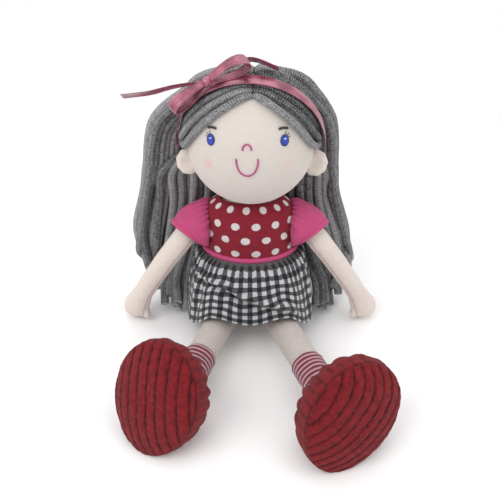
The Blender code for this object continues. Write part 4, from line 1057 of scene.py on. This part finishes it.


# Arms and legs: linen tubes stuffed round, with mitten hands; the arms are each sewn down one
# side. Knitted socks in red and lilac rings cover the lower legs.
seam_thread = floss("seam_thread", (0.58, 0.36, 0.35), 0.0006)
ARM_SHARES = (
    (0.0, 0.0, 0.0, 0.86), (0.09, 0.16, 0.03, 1.0), (0.24, 0.50, 0.14, 1.0), (0.50, 0.80, 0.37, 0.96),
    (0.74, 0.92, 0.62, 0.92), (0.84, 0.90, 0.74, 0.90), (0.96, 0.70, 0.92, 1.20), (1.0, 0.58, 0.99, 1.0),
)
for side in (LEFT, RIGHT):
    label = SIDE_NAMES[side]
    arm = stuffed("arm_" + label, "arm_" + label, linen.material, 0.0022, 3, cap=0.0012)
    skin_tree = BVHTree.FromObject(arm, bpy.context.evaluated_depsgraph_get())
    centres = [SHOULDER[side] + Vector((side * 0.070 * out, -0.018 * forward, -0.1005 * drop))
               for out, forward, drop, _ in ARM_SHARES]
    seam = []
    for point in smooth_path(centres[2:], 46):
        spot, normal = skin_tree.find_nearest(point + Vector((-side * 0.009, -0.012, 0.001)))[:2]
        seam.append(spot + normal * 0.0001)
    thread = stem_stitch("arm_seam_" + label, SHOULDER[side], seam, 0.00036, 0.0026, seam_thread,
                         "arm_" + label)

LEG_LENGTH = {RIGHT: 0.122, LEFT: 0.134}
SPLAY = {RIGHT: radians(-18.7), LEFT: radians(20)}
HIP = {side: Vector((side * 0.018, -0.028, 0.0170)) for side in (LEFT, RIGHT)}
SWING = {side: Matrix.Rotation(SPLAY[side], 3, "Z") @ Matrix.Rotation(radians(-93.4), 3, "X")
         for side in (LEFT, RIGHT)}

RING = 0.0045
sock_knit = Cloth("striped_knit", (0.42, 0.16, 0.22), 0.95, 0.3)
ring = sock_knit.math("ABSOLUTE", sock_knit.repeat(sock_knit.attribute("along"), RING))
fuzz = sock_knit.noise(1500, 2.0)
red = sock_knit.mix(fuzz, (0.17, 0.008, 0.022), (0.26, 0.018, 0.036))
lilac = sock_knit.mix(fuzz, (0.36, 0.27, 0.31), (0.52, 0.42, 0.47))
sock_knit.color(sock_knit.mix(sock_knit.spread(ring, 0.28, 0.34), red, lilac))
sock_knit.bump(sock_knit.knit(0.00095), 0.0002, 0.6)

# The legs are the same linen as the arms, in a darker copy of it that paints shade on them.
shaded_leg_linen = Cloth("shaded_leg_linen", (0.62, 0.55, 0.51), 0.9, 0.15)
shaded_leg_linen.color(woven(shaded_leg_linen, (0.555, 0.500, 0.468), (0.488, 0.437, 0.408), 0.0006, 0.25))
SOCK_LENGTH, SOCK_COLUMNS, SOCK_ROWS, TURNED_IN = 0.044, 72, 60, 8
for side in (LEFT, RIGHT):
    label = SIDE_NAMES[side]
    length = LEG_LENGTH[side]
    stuffed("leg_" + label, "leg_" + label, shaded_leg_linen.material, 0.0014, 5, 0.0002)
    shape = bmesh.new()
    grid, alongs, wales = [], [], []
    for row in range(SOCK_ROWS + TURNED_IN + 1):
        inside = row > SOCK_ROWS
        share = 1 - (row - SOCK_ROWS) / TURNED_IN if inside else row / SOCK_ROWS
        place = length - SOCK_LENGTH + SOCK_LENGTH * share
        points = []
        for k, angle in enumerate(angles_round(SOCK_COLUMNS)):
            radius = 0.0124 + 0.0010 * (1 - place / length) + (0.0006 if inside else 0.0016)
            if not inside:
                radius += 0.00028 * cos(2 * pi * (place / RING)) - 0.0008 * (1 - ease(share, 0, 0.03))
                spot = Vector((cos(angle) * 1.5, sin(angle) * 1.5, place * 130 + side))
                radius += 0.0007 * noise.noise(spot)
            point = Vector((radius * cos(angle), radius * sin(angle), -place))
            points.append(shape.verts.new(HIP[side] + SWING[side] @ point))
            wales.append(float(k % 2))
        grid.append(points)
        alongs += [place] * SOCK_COLUMNS
    join_rows(shape, grid + grid[:1])
    mesh = mesh_of("sock", shape)
    add_values(mesh, "along", alongs)
    add_values(mesh, "wale", wales)
    sock = new_piece("knit_sock_" + label, mesh, sock_knit.material, "leg_" + label, "sock_" + label)


# Boots: stuffed bags of dark red jumbo corduroy. An oval sole panel with its ribs down it is sewn
# to an upper that is gathered to the round ankle, so its ribs draw together there.
RIB = 0.0091
BOOT_TURN = {RIGHT: radians(-34), LEFT: radians(22)}
BOOT_TILT = {RIGHT: radians(-26), LEFT: radians(-15)}
BOOT_TWIST = {RIGHT: 0.0, LEFT: radians(32)}
BOOT_DEPTH = {RIGHT: 0.0357, LEFT: 0.0395}
BOOT_RISE = {RIGHT: 0.0018, LEFT: 0.0058}

corduroy = Cloth("red_corduroy", (0.20, 0.012, 0.018), 1.0, 0.07)
rib, pile = corduroy.attribute("rib"), corduroy.noise(620, 6.0, (1, 1, 1), 0.82)
patches = corduroy.noise(230, 4.0)
# Colour darker in the grooves between ribs, and along the seam of sole and upper, is painted shade; the pile
# and the patches vary at random.
tone = corduroy.math("MULTIPLY_ADD", pile, 0.95, corduroy.math("MULTIPLY", rib, 0.55))
tone = corduroy.math("MULTIPLY_ADD", corduroy.math("SUBTRACT", patches, 0.5), 0.85, tone)
nap_and_groove_shade = corduroy.spread(tone, 0.52, 1.22)
corduroy.color(corduroy.mix(nap_and_groove_shade, (0.040, 0.0022, 0.0040), (0.250, 0.0110, 0.0160)))
corduroy.bump(pile, 0.0010, 1.0)


def rib_height(place):
    """0 in the narrow groove between two ribs and 1 along a rib's top."""
    share = abs(2 * (place / RIB % 1) - 1)
    return 1 - share**5


def rib_place(side, x, z):
    """Which rib a spot of the sole lies on: they lean on the right boot and bow on the left one."""
    if side == RIGHT:
        return x + 0.24 * z - 5.7 * min(0, z + 0.012)**2
    return x + (6.2 if z < 0.024 else 22) * (z - 0.024)**2


def boot_piece(name, node, side, point, columns, rows):
    """A closed corduroy bag over a grid that gives points and rib heights (which the colour turns into
    painted shade in the grooves), kept above the floor.
    """
    shape = bmesh.new()
    grid, ribs = [], []
    for v in range(rows + 1):
        row = []
        for u in range(columns):
            spot, height = point(u / columns, v / rows)
            spot += noise.noise_vector(spot * 420) * 0.00035
            spot.z = max(spot.z, 0.0)
            row.append(shape.verts.new(spot))
            ribs.append(height)
        grid.append(row)
    join_rows(shape, grid)
    for row in (grid[0], grid[-1]):
        close_row(shape, row, shape.verts.new(sum((vert.co for vert in row), Vector()) / columns))
        ribs.append(1.0)
    mesh = mesh_of(name, shape)
    add_values(mesh, "rib", ribs)
    last = columns * (rows + 1)
    inflate(mesh, 0.0016, [*range(columns), *range(last - columns, last + 2)])
    piece = new_piece(name, mesh, corduroy.material, "leg_" + SIDE_NAMES[side], node)
    return piece


for side in (LEFT, RIGHT):
    label = SIDE_NAMES[side]
    length = LEG_LENGTH[side]
    ankle = HIP[side] + SWING[side] @ Vector((0, 0, -length))
    facing = Matrix.Rotation(BOOT_TURN[side], 3, "Z") @ Matrix.Rotation(BOOT_TILT[side], 3, "X")
    middle = ankle + facing @ Vector((0, -BOOT_DEPTH[side], 0)) + Vector((0, 0, BOOT_RISE[side]))
    turned = facing @ Matrix.Rotation(BOOT_TWIST[side], 3, "Y")

    def oval(angle):
        toe = 1 + 0.05 * sin(angle)
        return Vector((0.038 * cos(angle) * toe, 0, 0.047 * sin(angle)))

    def sole_point(u, v):
        angle = 2 * pi * u
        spread = cos(v * pi / 2) ** 0.8 if v < 1 else 0.0
        spread = max(0.02, spread)
        flat = oval(angle) * spread
        rough = 0.0007 * noise.noise(flat * 260) + 0.0004 * noise.noise(flat * 700)
        height = rib_height(rib_place(side, flat.x, flat.z) + rough)
        dome = 0.0085 * (1 - spread**3.2)
        edge = 1 - ease(v, 0.0, 0.10)
        flat.y = 0.0004 * edge - dome - 0.0011 * height * (1 - edge)
        # Towards the seam the rib value is lowered, which paints shade along the seam.
        return middle + turned @ flat, height * (1 - 0.35 * edge)

    boot_piece("boot_sole_panel_" + label, "boot_sole_" + label, side, sole_point, 240, 44)

    to_boot = turned.inverted() @ SWING[side]
    down = to_boot @ Vector((0, 0, -1))
    right = (Vector((1, 0, 0)) - down * down.x).normalized()
    up = down.cross(right)
    up = up if up.z > 0 else -up
    collar_middle = turned.inverted() @ (ankle + SWING[side] @ Vector((0, 0, -0.0004)) - middle)

    def upper_point(u, v):
        angle = 2 * pi * u
        outer = oval(angle) + Vector((0, 0.0004, 0))
        a = Vector((outer.x / 0.076, outer.z / 0.094)).normalized()
        inner = collar_middle + (right * a.x + up * a.y) * 0.0160
        depth = v**1.15
        spread = min(1.0, 1.04 * sin(pi / 2 * v**0.62)) if v < 1 else 1.0
        spot = Vector((inner.x + (outer.x - inner.x) * spread, inner.y + (outer.y - inner.y) * depth,
                       inner.z + (outer.z - inner.z) * spread))
        height = 0.4 + 0.6 * rib_height(u * 30 * RIB)
        outward = Vector((a.x, 0.25 * (1 - v), a.y)).normalized()
        gather = 0.0013 * sin(19 * angle + 1.5 * sin(2 * angle)) * (1 - ease(v, 0.3, 0.95)) * ease(v, 0, 0.1)
        edge = ease(v, 0.93, 1.0)
        spot += outward * ((0.0006 * height + gather) * (1 - edge) * ease(v, 0, 0.12) - 0.0006 * edge)
        # Towards the seam the rib value is lowered, which paints shade along the seam.
        return middle + turned @ spot, height * (1 - 0.5 * edge)

    boot_piece("boot_bag_" + label, "boot_upper_" + label, side, upper_point, 272, 40)
